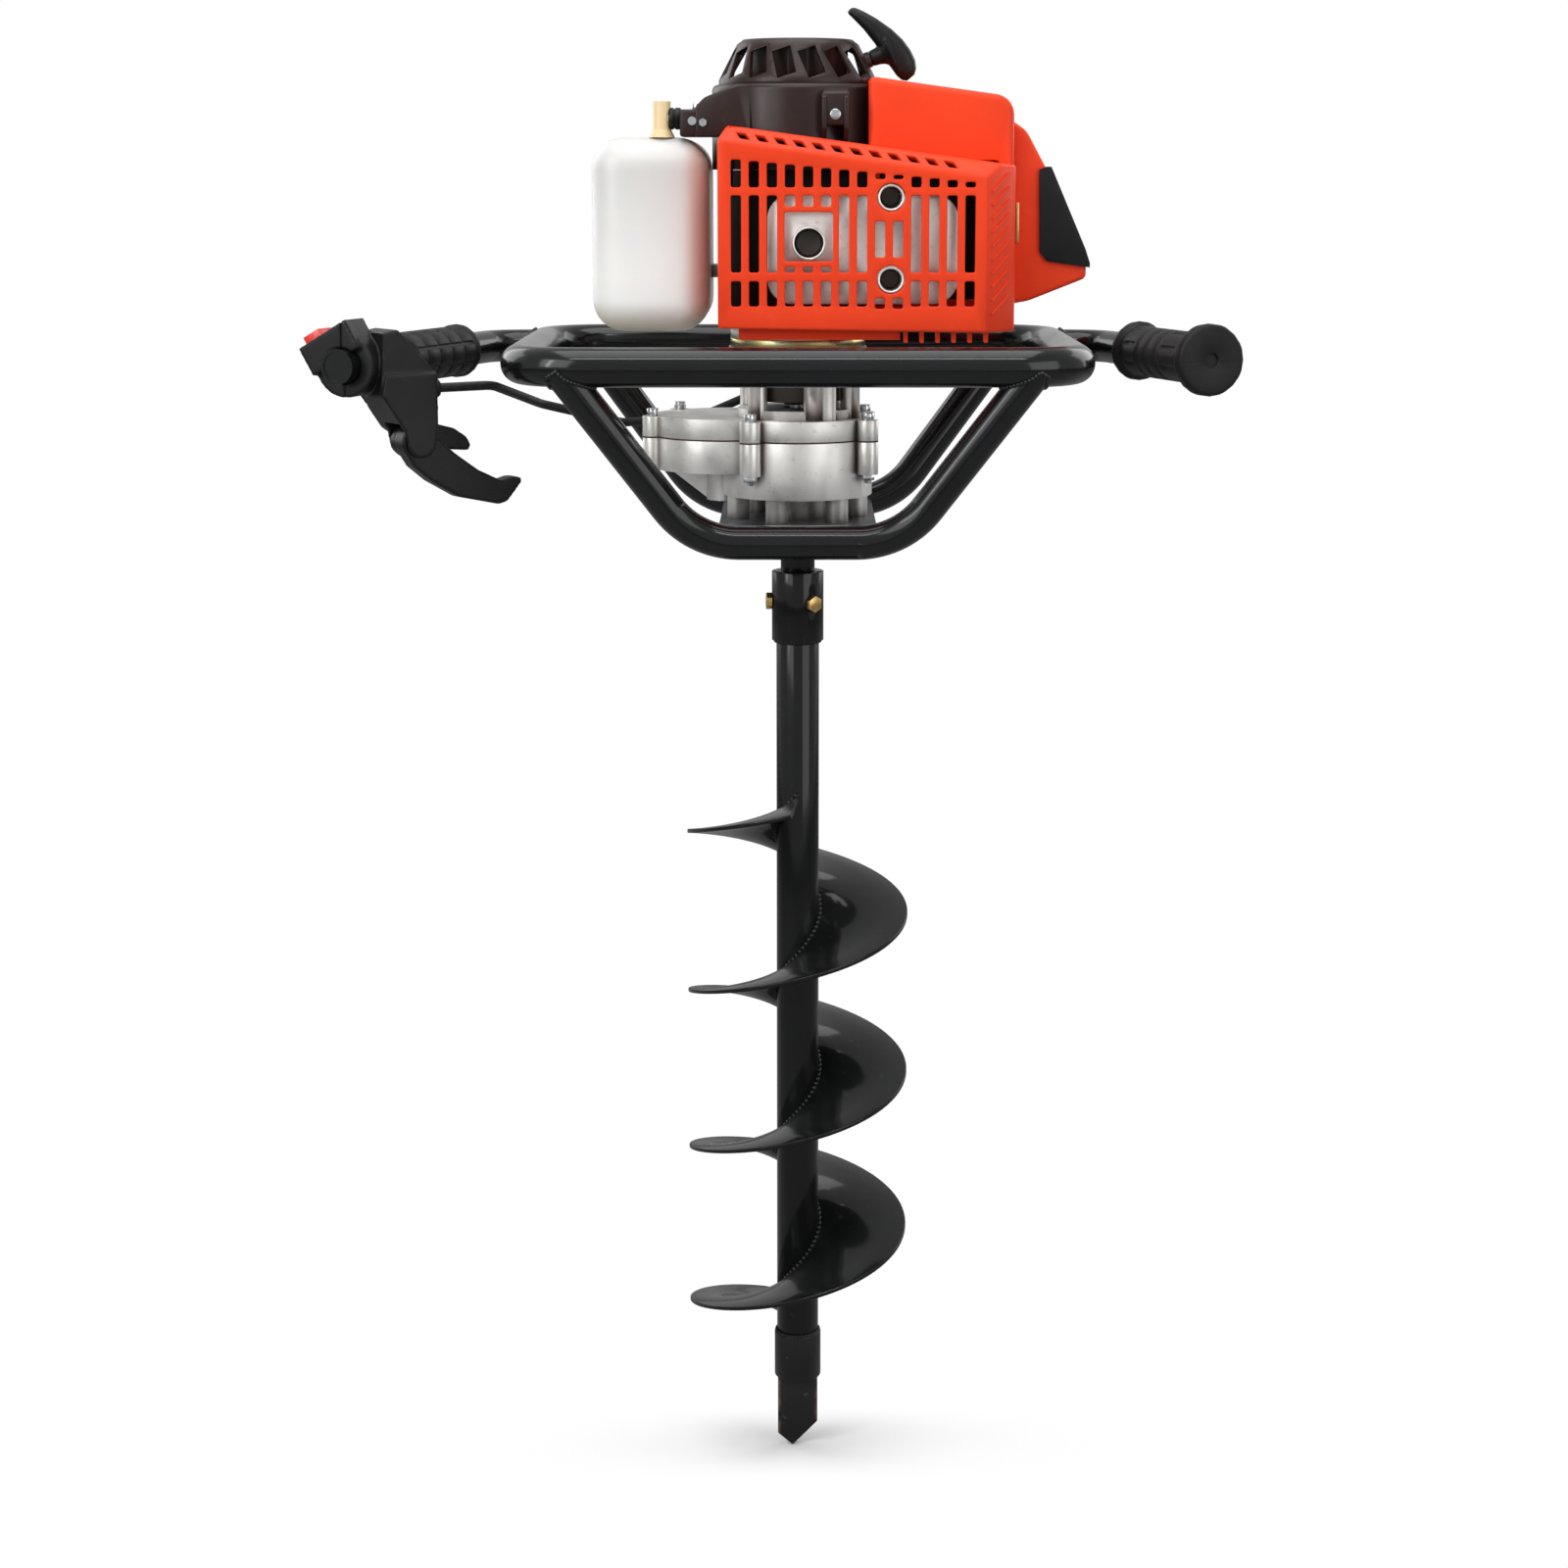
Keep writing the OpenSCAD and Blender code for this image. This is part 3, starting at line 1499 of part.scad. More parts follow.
module choke_lever() {
    color("dimgray")
        translate([filter_x1 + 0.4, 84, cyl_z + 10])
            rotate([0, 90, 0])
                difference() {
                    union() {
                        cylinder(h = 4, d = 13);
                        translate([-4, 0, 0])
                            cube([8, 24, 4]);
                        translate([0, 24, 0])
                            cylinder(h = 7, d = 8);
                    }
                    translate([0, 0, -e])
                        cylinder(h = 6, r = 3 + run_clear);
                }
}

// Controls on the left handle

module on_bar(z) {
    aim_x(left_start + left_dir * z, left_dir, left_in)
        children();
}

module on_pivot(q) {
    aim_x(pivot + trig_front * q, trig_front, trig_x)
        children();
}

module control_body() {
    difference() {
        union() {
            on_bar(106)
                cylinder(h = 56, r = bar_r + 9);
            on_bar(140)
                rotate([0, 0, box_tilt])
                    translate([-21, 4, 0])
                        cube([38, 20, 26]);
            on_pivot(-22)
                linear_extrude(22 + ear_front)
                    polygon([[-27, 30], [-24, 70], [-14, 72], [arm_r, 44], [arm_r, 0], [0, 0], [-12, 8]]);
            on_pivot(ear_front)
                ear_shape();
            on_pivot(ear_back - ear_t)
                ear_shape();
            on_pivot(boot_q)
                translate([arm_r - e, boot_y, 0])
                    rotate([0, 90, 0])
                        cylinder(h = 9, d = cable_d + 7);
        }
        on_bar(90)
            cylinder(h = 100, r = bar_r);
        on_pivot(ear_back)
            cylinder(h = ear_front - ear_back, r = arm_r + 6.5);
        on_pivot(button_q)
            translate([arm_r - 8, button_y, 0])
                rotate([0, 90, 0])
                    cylinder(h = 12, d = button_d + 2 * run_clear);
        on_pivot(boot_q)
            translate([arm_r - 3, boot_y, 0])
                rotate([0, 90, 0])
                    cylinder(h = 30, d = cable_d + 0.2);
        on_bar(switch_z)
            rotate([0, 0, box_tilt])
                translate([-18, 15, -11])
                    cube([15, 20, 22]);
        on_bar(switch_z)
            rotate([0, 0, box_tilt])
                translate([-18 - e, 15, -6])
                    cube([17, 6, 12]);
    }
    on_pivot(ear_back - e)
        cylinder(h = ear_front - ear_back + 2 * e, d = pivot_d);
}

module ear_shape() {
    linear_extrude(ear_t)
        difference() {
            union() {
                circle(arm_r - 2);
                polygon([[-12, 8], [-27, 30], [-24, 44], [arm_r, 44], [arm_r, 8]]);
                polygon([[-arm_r + 2, 0], [-12, 10], [arm_r, 10], [arm_r - 2, 0]]);
            }
        }
}

module control_shell_inner() {
    color([0.13, 0.13, 0.13])
        difference() {
            control_body();
            on_bar(0)
                translate([-200, -30, 0])
                    cube([200, 200, 300]);
        }
}

module control_shell_outer() {
    color([0.13, 0.13, 0.13])
        intersection() {
            control_body();
            on_bar(0)
                translate([-200, -30, 0])
                    cube([200, 200, 300]);
        }
}

module throttle_trigger() {
    color([0.12, 0.12, 0.12])
        on_pivot(trig_q0)
            linear_extrude(trigger_t)
                difference() {
                    union() {
                        circle(arm_r);
                        polygon([[-11, -5], [-4, -16], [8.5, -26], [28, -37], [57, -43.5], [63, -42], [74, -29.5],
                            [73, -26.5], [67.5, -26], [59, -28], [42, -20], [25, -8], [11, 4]]);
                    }
                    circle(d = pivot_d + 2 * run_clear);
                }
}

module trigger_lock() {
    color([0.12, 0.12, 0.12])
        on_pivot(lock_q0)
            difference() {
                union() {
                    cylinder(h = lock_t, r = arm_r - 1);
                    linear_extrude(lock_t)
                        polygon([[-1, 8], [3, 11.5], [15, 11], [32, 6.5], [41, 0.5], [44, -5], [42, -8.5], [36, -8],
                            [26, -7], [11, -5], [5, -5]]);
                }
                translate([0, 0, -e])
                    cylinder(h = lock_t + 2 * e, d = pivot_d + 2 * run_clear);
            }
}

module stop_switch() {
    color("red")
        on_bar(switch_z)
            rotate([0, 0, box_tilt]) {
                translate([-16.5, 17, -8.5])
                    cube([12, 12, 17]);
                translate([-17.7, 18, 0])
                    rotate([0, 90, 0])
                        cylinder(h = 14.4, d = 5.6);
            }
}

module half_throttle_button() {
    color("red")
        on_pivot(button_q)
            translate([arm_r - 3, button_y, 0])
                rotate([0, 90, 0])
                    cylinder(h = 10, d = button_d);
}

module throttle_cable() {
    color("black")
        tube_path(cable_points, 20, cable_d / 2, 0);
}

// Starter

module starter_reel() {
    color("dimgray")
        difference() {
            translate([0, 0, reel_z])
                cylinder(h = reel_t, d = reel_d);
            translate([0, 0, reel_z - e])
                cylinder(h = reel_t + 2 * e, r = reel_post_d / 2 + run_clear);
            translate([0, 0, reel_z + 3])
                ring(reel_d, reel_d / 2 - 5, reel_t - 6);
        }
}

module starter_rope() {
    color("black")
        run(pull_from - 6 * pull_dir, pull_seat, rope_d / 2, 0);
}

module starter_handle() {
    mid = pull_seat + 12.5 * pull_dir;
    bar = unit([0.7, 0, -0.714]);
    color([0.1, 0.1, 0.1]) {
        run(pull_seat, mid, 5.5, 0);
        aim(mid, bar)
            rotate_extrude()
                polygon([[0, -38], [3.4, -37], [5, -34], [7.4, 0], [6, 19], [4, 23], [0, 24.5]]);
    }
}

tip_blade();
tip_collar();
auger_tube();
flighting();
drive_sleeve();
sleeve_bolts();
output_shaft();
output_gear();
layshaft();
layshaft_gear();
input_shaft();
clutch_drum();
crankshaft();
clutch_shoes();
flywheel();
piston();
connecting_rod();
frame_hoop();
front_leg();
rear_leg();
base_plate();
base_bolts();
left_handle_tube();
right_handle_tube();
right_grip();
left_grip();
gearbox_lower_case();
gearbox_gasket();
gearbox_upper_case();
gearbox_bolts();
gearbox_bearings();
clutch_housing();
mount_plate();
crankcase_lower();
crankcase_upper();
engine_cylinder();
spark_plug();
cylinder_cover();
plug_cover();
muffler();
muffler_guard();
cover_screws();
fan_shroud();
starter_cover();
fuel_tank();
fuel_grommet();
carburettor();
air_filter_cover();
control_shell_inner();
control_shell_outer();
throttle_cable();
starter_reel();
starter_handle();
starter_rope();
throttle_trigger();
trigger_lock();
stop_switch();
half_throttle_button();
choke_lever();
filler_cap();
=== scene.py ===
import json
import math
import bmesh
import bpy
from mathutils import Matrix, Vector
from mathutils.geometry import delaunay_2d_cdt


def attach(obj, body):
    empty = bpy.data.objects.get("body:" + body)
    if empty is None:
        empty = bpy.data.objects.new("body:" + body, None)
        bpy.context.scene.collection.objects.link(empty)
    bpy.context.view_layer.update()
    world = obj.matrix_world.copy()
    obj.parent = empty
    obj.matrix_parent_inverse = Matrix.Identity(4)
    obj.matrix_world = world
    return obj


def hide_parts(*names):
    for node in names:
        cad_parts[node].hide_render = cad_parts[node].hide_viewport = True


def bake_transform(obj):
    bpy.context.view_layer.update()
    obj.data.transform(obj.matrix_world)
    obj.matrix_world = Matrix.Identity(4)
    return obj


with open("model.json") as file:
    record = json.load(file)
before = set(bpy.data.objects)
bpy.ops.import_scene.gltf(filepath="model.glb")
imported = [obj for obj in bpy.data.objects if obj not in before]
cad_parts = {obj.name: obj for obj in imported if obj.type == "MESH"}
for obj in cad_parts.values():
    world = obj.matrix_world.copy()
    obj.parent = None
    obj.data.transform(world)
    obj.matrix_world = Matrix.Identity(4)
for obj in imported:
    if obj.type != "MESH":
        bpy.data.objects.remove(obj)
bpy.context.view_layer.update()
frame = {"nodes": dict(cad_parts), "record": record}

scene = bpy.context.scene
scene.view_settings.view_transform = "Standard"


# The studio: a pale seamless floor under the bit's point, five broad soft lamps, two narrow ones for the
# long glints on the tubes, and an even white surround. The camera stands level with the engine, looking down.
def feed(tree, node, feeds):
    """Fill a node's inputs: each feed is another node's output, a list of outputs or a plain value."""
    for label, value in feeds.items():
        socket = node.inputs[label]
        for one in value if isinstance(value, list) else [value]:
            if isinstance(one, bpy.types.NodeSocket):
                tree.links.new(one, socket)
            else:
                socket.default_value = (*one, 1) if socket.type == "RGBA" else one


def wired(tree, kind, feeds=None, out=0, **settings):
    """Put a node with its settings and feeds in a tree, and hand back one of its outputs."""
    node = tree.nodes.new(tree.bl_idname.removesuffix("Tree") + kind)
    for name, value in settings.items():
        setattr(node, name, value)
    feed(tree, node, feeds or {})
    return node.outputs[out]


def worked(tree, operation, *values):
    """The result of one step of arithmetic."""
    return wired(tree, "Math", dict(enumerate(values)), operation=operation)


def ranged(tree, value, low, high, to_low=0, to_high=1, **settings):
    """How far a value has come from one level to another, spread over a range."""
    levels = {"Value": value, "From Min": low, "From Max": high, "To Min": to_low, "To Max": to_high}
    return wired(tree, "MapRange", levels, **settings)


def blended(tree, amount, first, second):
    """A colour between two colours."""
    return wired(tree, "Mix", {0: amount, 6: first, 7: second}, 2, data_type="RGBA")


def spot_on(tree):
    """The place on the piece, in metres."""
    return wired(tree, "TexCoord", out="Object")


def finish(name, metallic=0.0, coat=0.0, coat_roughness=0.1, specular=0.5):
    """A new material with its tree and its shader."""
    material = bpy.data.materials.new(name)
    material.use_nodes = True
    tree = material.node_tree
    shader = tree.nodes["Principled BSDF"]
    feed(tree, shader, {"Metallic": metallic, "Coat Weight": coat, "Coat Roughness": coat_roughness,
                        "Specular IOR Level": specular})
    return material, tree, shader


floor_mesh = bpy.data.meshes.new("studio_floor")
floor_mesh.from_pydata([(-6, -4, 0), (6, -4, 0), (6, 8, 0), (-6, 8, 0)], [], [(0, 1, 2, 3)])
floor = bpy.data.objects.new("studio_floor", floor_mesh)
scene.collection.objects.link(floor)
floor_finish, tree, shader = finish("pale_floor", specular=0.1)
floor_mesh.materials.append(floor_finish)

# to the camera the floor runs out to white away from the bit's point, so only a flat oval of shadow is left
shadow_oval = (1, 4.5, 1)
shadow_reach = 0.28
floor_lit = (0.34, 0.34, 0.34)
floor_seen = (0.93, 0.93, 0.93)
seen = wired(tree, "LightPath", out="Is Camera Ray")
oval = wired(tree, "VectorMath", {0: spot_on(tree), 1: shadow_oval}, operation="MULTIPLY")
away = wired(tree, "VectorMath", {0: oval}, "Value", operation="LENGTH")
fade = ranged(tree, away, 0, shadow_reach, interpolation_type="SMOOTHSTEP")
feed(tree, shader, {"Base Color": blended(tree, seen, floor_lit, floor_seen), "Roughness": 0.8})
faded = worked(tree, "MULTIPLY", fade, seen)
mixed = wired(tree, "MixShader", {0: faded, 1: shader.outputs[0], 2: wired(tree, "Emission")})
feed(tree, tree.nodes["Material Output"], {"Surface": mixed})

# the surround is bright to the camera, half as bright in gloss and dim as a lamp
world = bpy.data.worlds.new("studio_white")
world.use_nodes = True
scene.world = world
tree = world.node_tree
ray = wired(tree, "LightPath").node.outputs
mirrored = worked(tree, "MULTIPLY_ADD", ray["Is Glossy Ray"], 0.5, ray["Is Transmission Ray"])
bright = worked(tree, "MAXIMUM", ray["Is Camera Ray"], mirrored)
glow = ranged(tree, bright, 0, 1, 0.25, 1)
feed(tree, tree.nodes["Background"], {"Color": (1, 1, 1), "Strength": glow})

for label, place, aim, wide, high, power in (
    ("top_softbox", (0.0, -0.1, 2.4), 0.8, 1.5, 1.5, 20),
    ("key_softbox", (-1.5, -1.7, 1.7), 0.7, 1.7, 1.7, 26),
    ("fill_softbox", (1.7, -1.7, 1.2), 0.6, 1.7, 1.7, 18),
    ("left_rim_softbox", (-1.6, 1.3, 1.4), 0.7, 1.6, 1.6, 16),
    ("right_rim_softbox", (1.6, 1.3, 1.4), 0.7, 1.6, 1.6, 16),
    ("left_strip", (-1.5, -1.3, 1.5), 0.75, 0.14, 1.2, 6),
    ("top_strip", (0.0, -1.1, 2.2), 0.8, 1.2, 0.14, 6),
):
    lamp = bpy.data.lights.new(label, "AREA")
    lamp.shape = "RECTANGLE"
    lamp.size = wide
    lamp.size_y = high
    lamp.energy = power
    holder = bpy.data.objects.new(label, lamp)
    holder.location = place
    holder.rotation_euler = (Vector((0, 0, aim)) - Vector(place)).to_track_quat("-Z", "Y").to_euler()
    scene.collection.objects.link(holder)

looking_down = 9.71
camera_data = bpy.data.cameras.new("photo_camera")
camera_data.sensor_width = 36
camera_data.sensor_fit = "HORIZONTAL"
camera_data.lens = 64.95
camera_data.shift_x = -0.0078
camera_data.shift_y = -0.085
camera = bpy.data.objects.new("photo_camera", camera_data)
camera.location = (-0.001, -1.9, 0.9)
camera.rotation_euler = (math.radians(90 - looking_down), 0, 0)
scene.collection.objects.link(camera)
scene.camera = camera


# The bit: a drawn steel tube with a tip collar, a forged blade let into the collar and a steel strip wound
# round the tube and welded on, all sprayed gloss black. The digging edges are bare and a little rusty.
def noise_mask(tree, spot, scale, low=0.3, high=0.7, detail=3.0):
    """A noise cut to a mask between two levels."""
    noise = wired(tree, "TexNoise", {"Vector": spot, "Scale": scale, "Detail": detail})
    return ranged(tree, noise, low, high)


def skin_group(name, base, mark, cloud, flecks, spread, more=()):
    """A shader group for one kind of skin: cloudy colour with marks over it, and cloudy gloss."""
    tree = bpy.data.node_groups.new(name, "ShaderNodeTree")
    for label in (base, mark, mark + "s", "Smoothest", "Roughest", *more):
        kind = "NodeSocketColor" if label in (base, mark) else "NodeSocketFloat"
        tree.interface.new_socket(label, in_out="INPUT", socket_type=kind)
    for label, kind in (("Color", "Color"), ("Roughness", "Float"), ("Height", "Float")):
        tree.interface.new_socket(label, in_out="OUTPUT", socket_type="NodeSocket" + kind)
    given = tree.nodes.new("NodeGroupInput").outputs
    put = tree.nodes.new("NodeGroupOutput")
    spot = spot_on(tree)
    clouds = noise_mask(tree, spot, *cloud)
    tone = wired(tree, "HueSaturation",
                 {"Color": given[base], "Value": ranged(tree, clouds, 0, 1, *spread)})
    marked = worked(tree, "MULTIPLY", noise_mask(tree, spot, *flecks), given[mark + "s"])
    feed(tree, put, {"Roughness": ranged(tree, clouds, 0, 1, given["Smoothest"], given["Roughest"])})
    return tree, given, put, spot, blended(tree, marked, tone, given[mark])


# sprayed paint: orange peel, cloudy gloss and pale scuffs
sprayed, given, put, spot, scuffed = skin_group(
    "sprayed_paint", "Paint", "Scuff", cloud=(22,), flecks=(150, 0.66, 0.74, 6), spread=(0.75, 1.35))
feed(sprayed, put, {"Color": scuffed, "Height": noise_mask(sprayed, spot, 700, detail=2)})


def relief(tree, shader, height, strength, depth):
    """Raise or sink a skin by a height."""
    raised = wired(tree, "Bump", {"Strength": strength, "Distance": depth, "Height": height})
    feed(tree, shader, {"Normal": raised})


def skinned(name, group, bump, depth=0.0003, over=None, metallic=0.0, coat=0.0, coat_roughness=0.1,
            specular=0.5, **values):
    """A material with its own values for a skin group; over is a function that works on its colour."""
    material, tree, shader = finish(name, metallic, coat, coat_roughness, specular)
    skin = wired(tree, "Group", values, node_tree=group).node.outputs
    colour = over(tree, skin["Color"]) if over else skin["Color"]
    feed(tree, shader, {"Base Color": colour, "Roughness": skin["Roughness"]})
    relief(tree, shader, skin["Height"], bump, depth)
    return material


bit_paint = skinned("bit_gloss_black", sprayed, 0.12, coat=0.5, specular=0.05, Paint=(0.0045, 0.0048, 0.005),
                    Scuff=(0.026, 0.026, 0.027), Scuffs=0.45, Smoothest=0.34, Roughest=0.5)

worn_edge = (0.0115, 0.0142)
worn_below = (0.056, 0.05)


def rubbed_through(tree, paint):
    """Paint worn off in patches down to brown steel, on the ground edges of the blade."""
    spot = spot_on(tree)
    place = wired(tree, "SeparateXYZ", {0: spot}).node.outputs
    edge = ranged(tree, worked(tree, "ABSOLUTE", place["X"]), *worn_edge)
    ground = worked(tree, "MULTIPLY", edge, ranged(tree, place["Z"], *worn_below))
    bare = worked(tree, "MULTIPLY", ground, noise_mask(tree, spot, 90, 0.38, 0.62))
    rusty = noise_mask(tree, spot, 260, 0.35, 0.65)
    rust = blended(tree, rusty, (0.16, 0.09, 0.055), (0.3, 0.2, 0.13))
    return blended(tree, bare, paint, rust)


tip_paint = skinned("tip_worn_black", sprayed, 0.18, over=rubbed_through, coat=0.25, coat_roughness=0.2,
                    specular=0.15, Paint=(0.014, 0.0142, 0.015), Scuff=(0.09, 0.07, 0.055), Scuffs=0.7,
                    Smoothest=0.34, Roughest=0.52)

body_of_node = {n: b for b, members in frame["record"]["behaviour"]["bodies"].items() for n in members}


def fixed(piece, body="machine"):
    """Let a piece ride on a body."""
    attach(piece, body)
    return piece


def stands_for(piece, node):
    """Let a piece take a node's place and its body."""
    fixed(piece, body_of_node[node])
    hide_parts(node)
    return piece


def whole(name, shape, material):
    """An object from a finished bmesh, in one finish."""
    mesh = bpy.data.meshes.new(name)
    shape.to_mesh(mesh)
    shape.free()
    mesh.materials.append(material)
    piece = bpy.data.objects.new(name, mesh)
    scene.collection.objects.link(piece)
    return piece


def baked(piece):
    """Turn a piece's modifiers into plain mesh."""
    piece.data = bpy.data.meshes.new_from_object(piece.evaluated_get(bpy.context.evaluated_depsgraph_get()))
    piece.modifiers.clear()
    return piece


def shaded(piece, sharp=38):
    """Smooth a piece's faces into each other up to an angle."""
    piece.data.shade_smooth()
    piece.data.set_sharp_from_angle(angle=math.radians(sharp))
    return piece


def made(name, shape, material, sharp=38):
    """A shaded piece from a finished bmesh."""
    return shaded(whole(name, shape, material), sharp)


def node_shape(node):
    """A node's own shape with its loose triangles merged."""
    shape = bmesh.new()
    shape.from_mesh(frame["nodes"][node].data)
    bmesh.ops.remove_doubles(shape, verts=shape.verts, dist=2e-6)
    return shape


def eased(node, radius, material, segments=2):
    """A node's own shape with its sharp edges broken, as a tumbled, cast or moulded piece has them."""
    shape = node_shape(node)
    bmesh.ops.dissolve_limit(shape, angle_limit=math.radians(0.6), verts=shape.verts, edges=shape.edges)
    piece = whole(node + "_finished", shape, material)
    if radius:
        rounding = piece.modifiers.new("broken_edges", "BEVEL")
        rounding.width = radius
        rounding.segments = segments
        rounding.limit_method = "ANGLE"
        rounding.angle_limit = math.radians(32)
        rounding.use_clamp_overlap = True
        rounding.miter_outer = "MITER_ARC"
        baked(piece)
    return stands_for(shaded(piece), node)


eased("tip_blade", 0.0009, tip_paint)
eased("tip_collar", 0.0016, tip_paint, 3)
eased("auger_tube", 0.0004, bit_paint)

# the flighting: one flat strip wound round the tube at a steady pitch, its rim a little rounded
flight_pitch = 0.113
flight_bottom = 0.088
flight_len = 0.39
flight_start = math.radians(105)
flight_half = 0.0016
flight_thick = 1.86 * flight_half
flight_r = 0.076
tube_r = 0.0145
rim_round = 0.0008


def empty_tree(name, **sizes):
    """A new geometry tree with its named inputs."""
    tree = bpy.data.node_groups.new(name, "GeometryNodeTree")
    for label, kind in sizes.items():
        tree.interface.new_socket(label, in_out="INPUT", socket_type="NodeSocket" + kind)
    tree.interface.new_socket("Shape", in_out="OUTPUT", socket_type="NodeSocketGeometry")
    return tree, tree.nodes.new("NodeGroupInput").outputs


def ended(tree, shape, material):
    """End a tree in plain mesh with its finish."""
    real = wired(tree, "RealizeInstances", {"Geometry": shape})
    coloured = wired(tree, "SetMaterial", {"Geometry": real, "Material": material})
    feed(tree, tree.nodes.new("NodeGroupOutput"), {"Shape": coloured})


def grown(name, tree, start=None, **values):
    """A piece that a geometry tree makes, from a mesh or from nothing, turned into plain mesh."""
    piece = bpy.data.objects.new(name, start or bpy.data.meshes.new(name))
    scene.collection.objects.link(piece)
    maker = piece.modifiers.new("maker", "NODES")
    maker.node_group = tree
    for socket in tree.interface.items_tree:
        if socket.name in values:
            maker[socket.identifier] = values[socket.name]
    baked(piece)
    piece.data.shade_smooth()
    return piece


strip_tree, given = empty_tree(
    "wound_strip", Middle_Radius="Float", Width="Float", Thickness="Float", Height="Float", Turns="Float",
    Rim_Round="Float", Bottom="Vector", Start="Vector", Finish="Material")
winding = wired(strip_tree, "CurveSpiral", {
    "Resolution": 88, "Reverse": True, "Start Radius": given["Middle_Radius"], "Rotations": given["Turns"],
    "End Radius": given["Middle_Radius"], "Height": given["Height"]})
upright = wired(strip_tree, "SetCurveNormal", {"Curve": winding}, mode="Z_UP")
section = wired(strip_tree, "CurvePrimitiveQuadrilateral",
                {"Width": given["Width"], "Height": given["Thickness"]})
rim = wired(strip_tree, "FilletCurve",
            {"Curve": section, "Radius": given["Rim_Round"], "Count": 3}, mode="POLY")
finer = wired(strip_tree, "SubdivideCurve", {"Curve": rim, "Cuts": 3})
wound = wired(strip_tree, "CurveToMesh",
              {"Curve": upright, "Profile Curve": finer, "Fill Caps": True})
seated = wired(strip_tree, "Transform",
               {"Geometry": wound, "Translation": given["Bottom"], "Rotation": given["Start"]})
ended(strip_tree, seated, given["Finish"])
strip = grown("flighting_strip", strip_tree,
              Middle_Radius=(tube_r + flight_r) / 2, Width=flight_r - tube_r, Thickness=flight_thick,
              Height=flight_len, Turns=flight_len / flight_pitch, Rim_Round=rim_round,
              Bottom=(0, 0, flight_bottom - flight_half), Start=(0, 0, flight_start), Finish=bit_paint)
stands_for(shaded(strip, 50), "flighting")

# weld beads: short overlapping ripples laid by hand along a seam, under the paint
bead_tree, given = empty_tree(
    "weld_bead", Seam="Geometry", Ripple_Radius="Float", Ripple_Pitch="Float", Finish="Material")
line = wired(bead_tree, "MeshToCurve", {0: given["Seam"]})
spaced = wired(bead_tree, "CurveToPoints", {"Curve": line, "Length": given["Ripple_Pitch"]},
               mode="LENGTH")
ripple = wired(bead_tree, "MeshIcoSphere", {"Subdivisions": 2, "Radius": given["Ripple_Radius"]})
laid = wired(bead_tree, "InstanceOnPoints", {"Points": spaced, "Instance": ripple})
ended(bead_tree, laid, given["Finish"])


def weld(name, seams, radius, pitch, material, body="bit"):
    """Ripples along one or more seams, each a list of points."""
    verts, edges = [], []
    for seam in seams:
        start = len(verts)
        verts += [tuple(p) for p in seam]
        edges += [(start + i, start + i + 1) for i in range(len(seam) - 1)]
    mesh = bpy.data.meshes.new(name)
    mesh.from_pydata(verts, edges, [])
    bead = grown(name, bead_tree, mesh, Ripple_Radius=radius, Ripple_Pitch=pitch, Finish=material)
    return fixed(bead, body)


def round_seam(radius, height, climb=0.0, start=0.0, turn=math.tau, steps=48):
    """Points round the bit's axis, rising steadily where the seam climbs."""
    return [(radius * math.cos(start + turn * i / steps), radius * math.sin(start + turn * i / steps),
             height + climb * i / steps) for i in range(steps + 1)]


weld("flighting_weld", [round_seam(tube_r + 0.0006, flight_bottom - 0.001, flight_len, flight_start,
                                   flight_len / flight_pitch * math.tau, 400)],
     radius=0.0022, pitch=0.0034, material=bit_paint)
collar_top = 0.0862
weld("collar_weld", [round_seam(tube_r, collar_top)], radius=0.0016, pitch=0.0022, material=tip_paint)


# The drive sleeve: a short turned tube welded to the bit's top, pushed over the gearbox shaft and held by
# yellow plated hex bolts; the painted shaft shows above it.
sleeve_bottom = 0.5824
sleeve_seam_r = 0.015
eased("drive_sleeve", 0.0009, bit_paint)
sleeve_seam = round_seam(sleeve_seam_r, sleeve_bottom)
weld("sleeve_weld", [sleeve_seam], radius=0.0015, pitch=0.0021, material=bit_paint)

# metal grain: cloudy tone, fine pits and dark flecks, with painted shade darkening the corners
grained, given, put, spot, flecked = skin_group(
    "metal_grain", "Metal", "Stain", cloud=(35, 0.3, 0.7, 4), flecks=(240, 0.6, 0.72, 5), spread=(0.86, 1.1),
    more=("Grain", "Grime"))
# painted shade: the colour turns dark brown where nearby surfaces close a spot in, as in corners and gaps
openness = wired(grained, "AmbientOcclusion", {"Distance": 0.012}, "AO", samples=8)
shaded_corners = worked(grained, "MULTIPLY", ranged(grained, openness, 0.35, 0.85, 1, 0), given["Grime"])
pits = wired(grained, "TexNoise", {"Vector": spot, "Scale": given["Grain"], "Detail": 3})
feed(grained, put, {"Color": blended(grained, shaded_corners, flecked, (0.09, 0.075, 0.065)), "Height": pits})


def metal(name, bump, metallic=1.0, depth=0.0004, **values):
    """Bare or plated metal."""
    return skinned(name, grained, bump, depth, metallic=metallic, **values)


def repainted(material, *nodes):
    """Give nodes that keep their own shape a finish."""
    for node in nodes:
        frame["nodes"][node].data.materials.clear()
        frame["nodes"][node].data.materials.append(material)


brass_plate = metal("brass_plated", 0.08, Metal=(0.55, 0.37, 0.14), Stain=(0.2, 0.12, 0.05), Stains=0.5,
                    Smoothest=0.25, Roughest=0.42, Grain=600)
turned_steel = metal("turned_steel", 0.06, Metal=(0.46, 0.46, 0.47), Stain=(0.16, 0.13, 0.1),
                     Stains=0.4, Smoothest=0.22, Roughest=0.38, Grain=900)
eased("sleeve_bolts", 0.0005, brass_plate)
eased("output_shaft", 0.0005, bit_paint)
repainted(turned_steel, "output_gear", "layshaft", "layshaft_gear", "input_shaft", "clutch_shoes",
          "crankshaft", "connecting_rod", "gearbox_bearings")


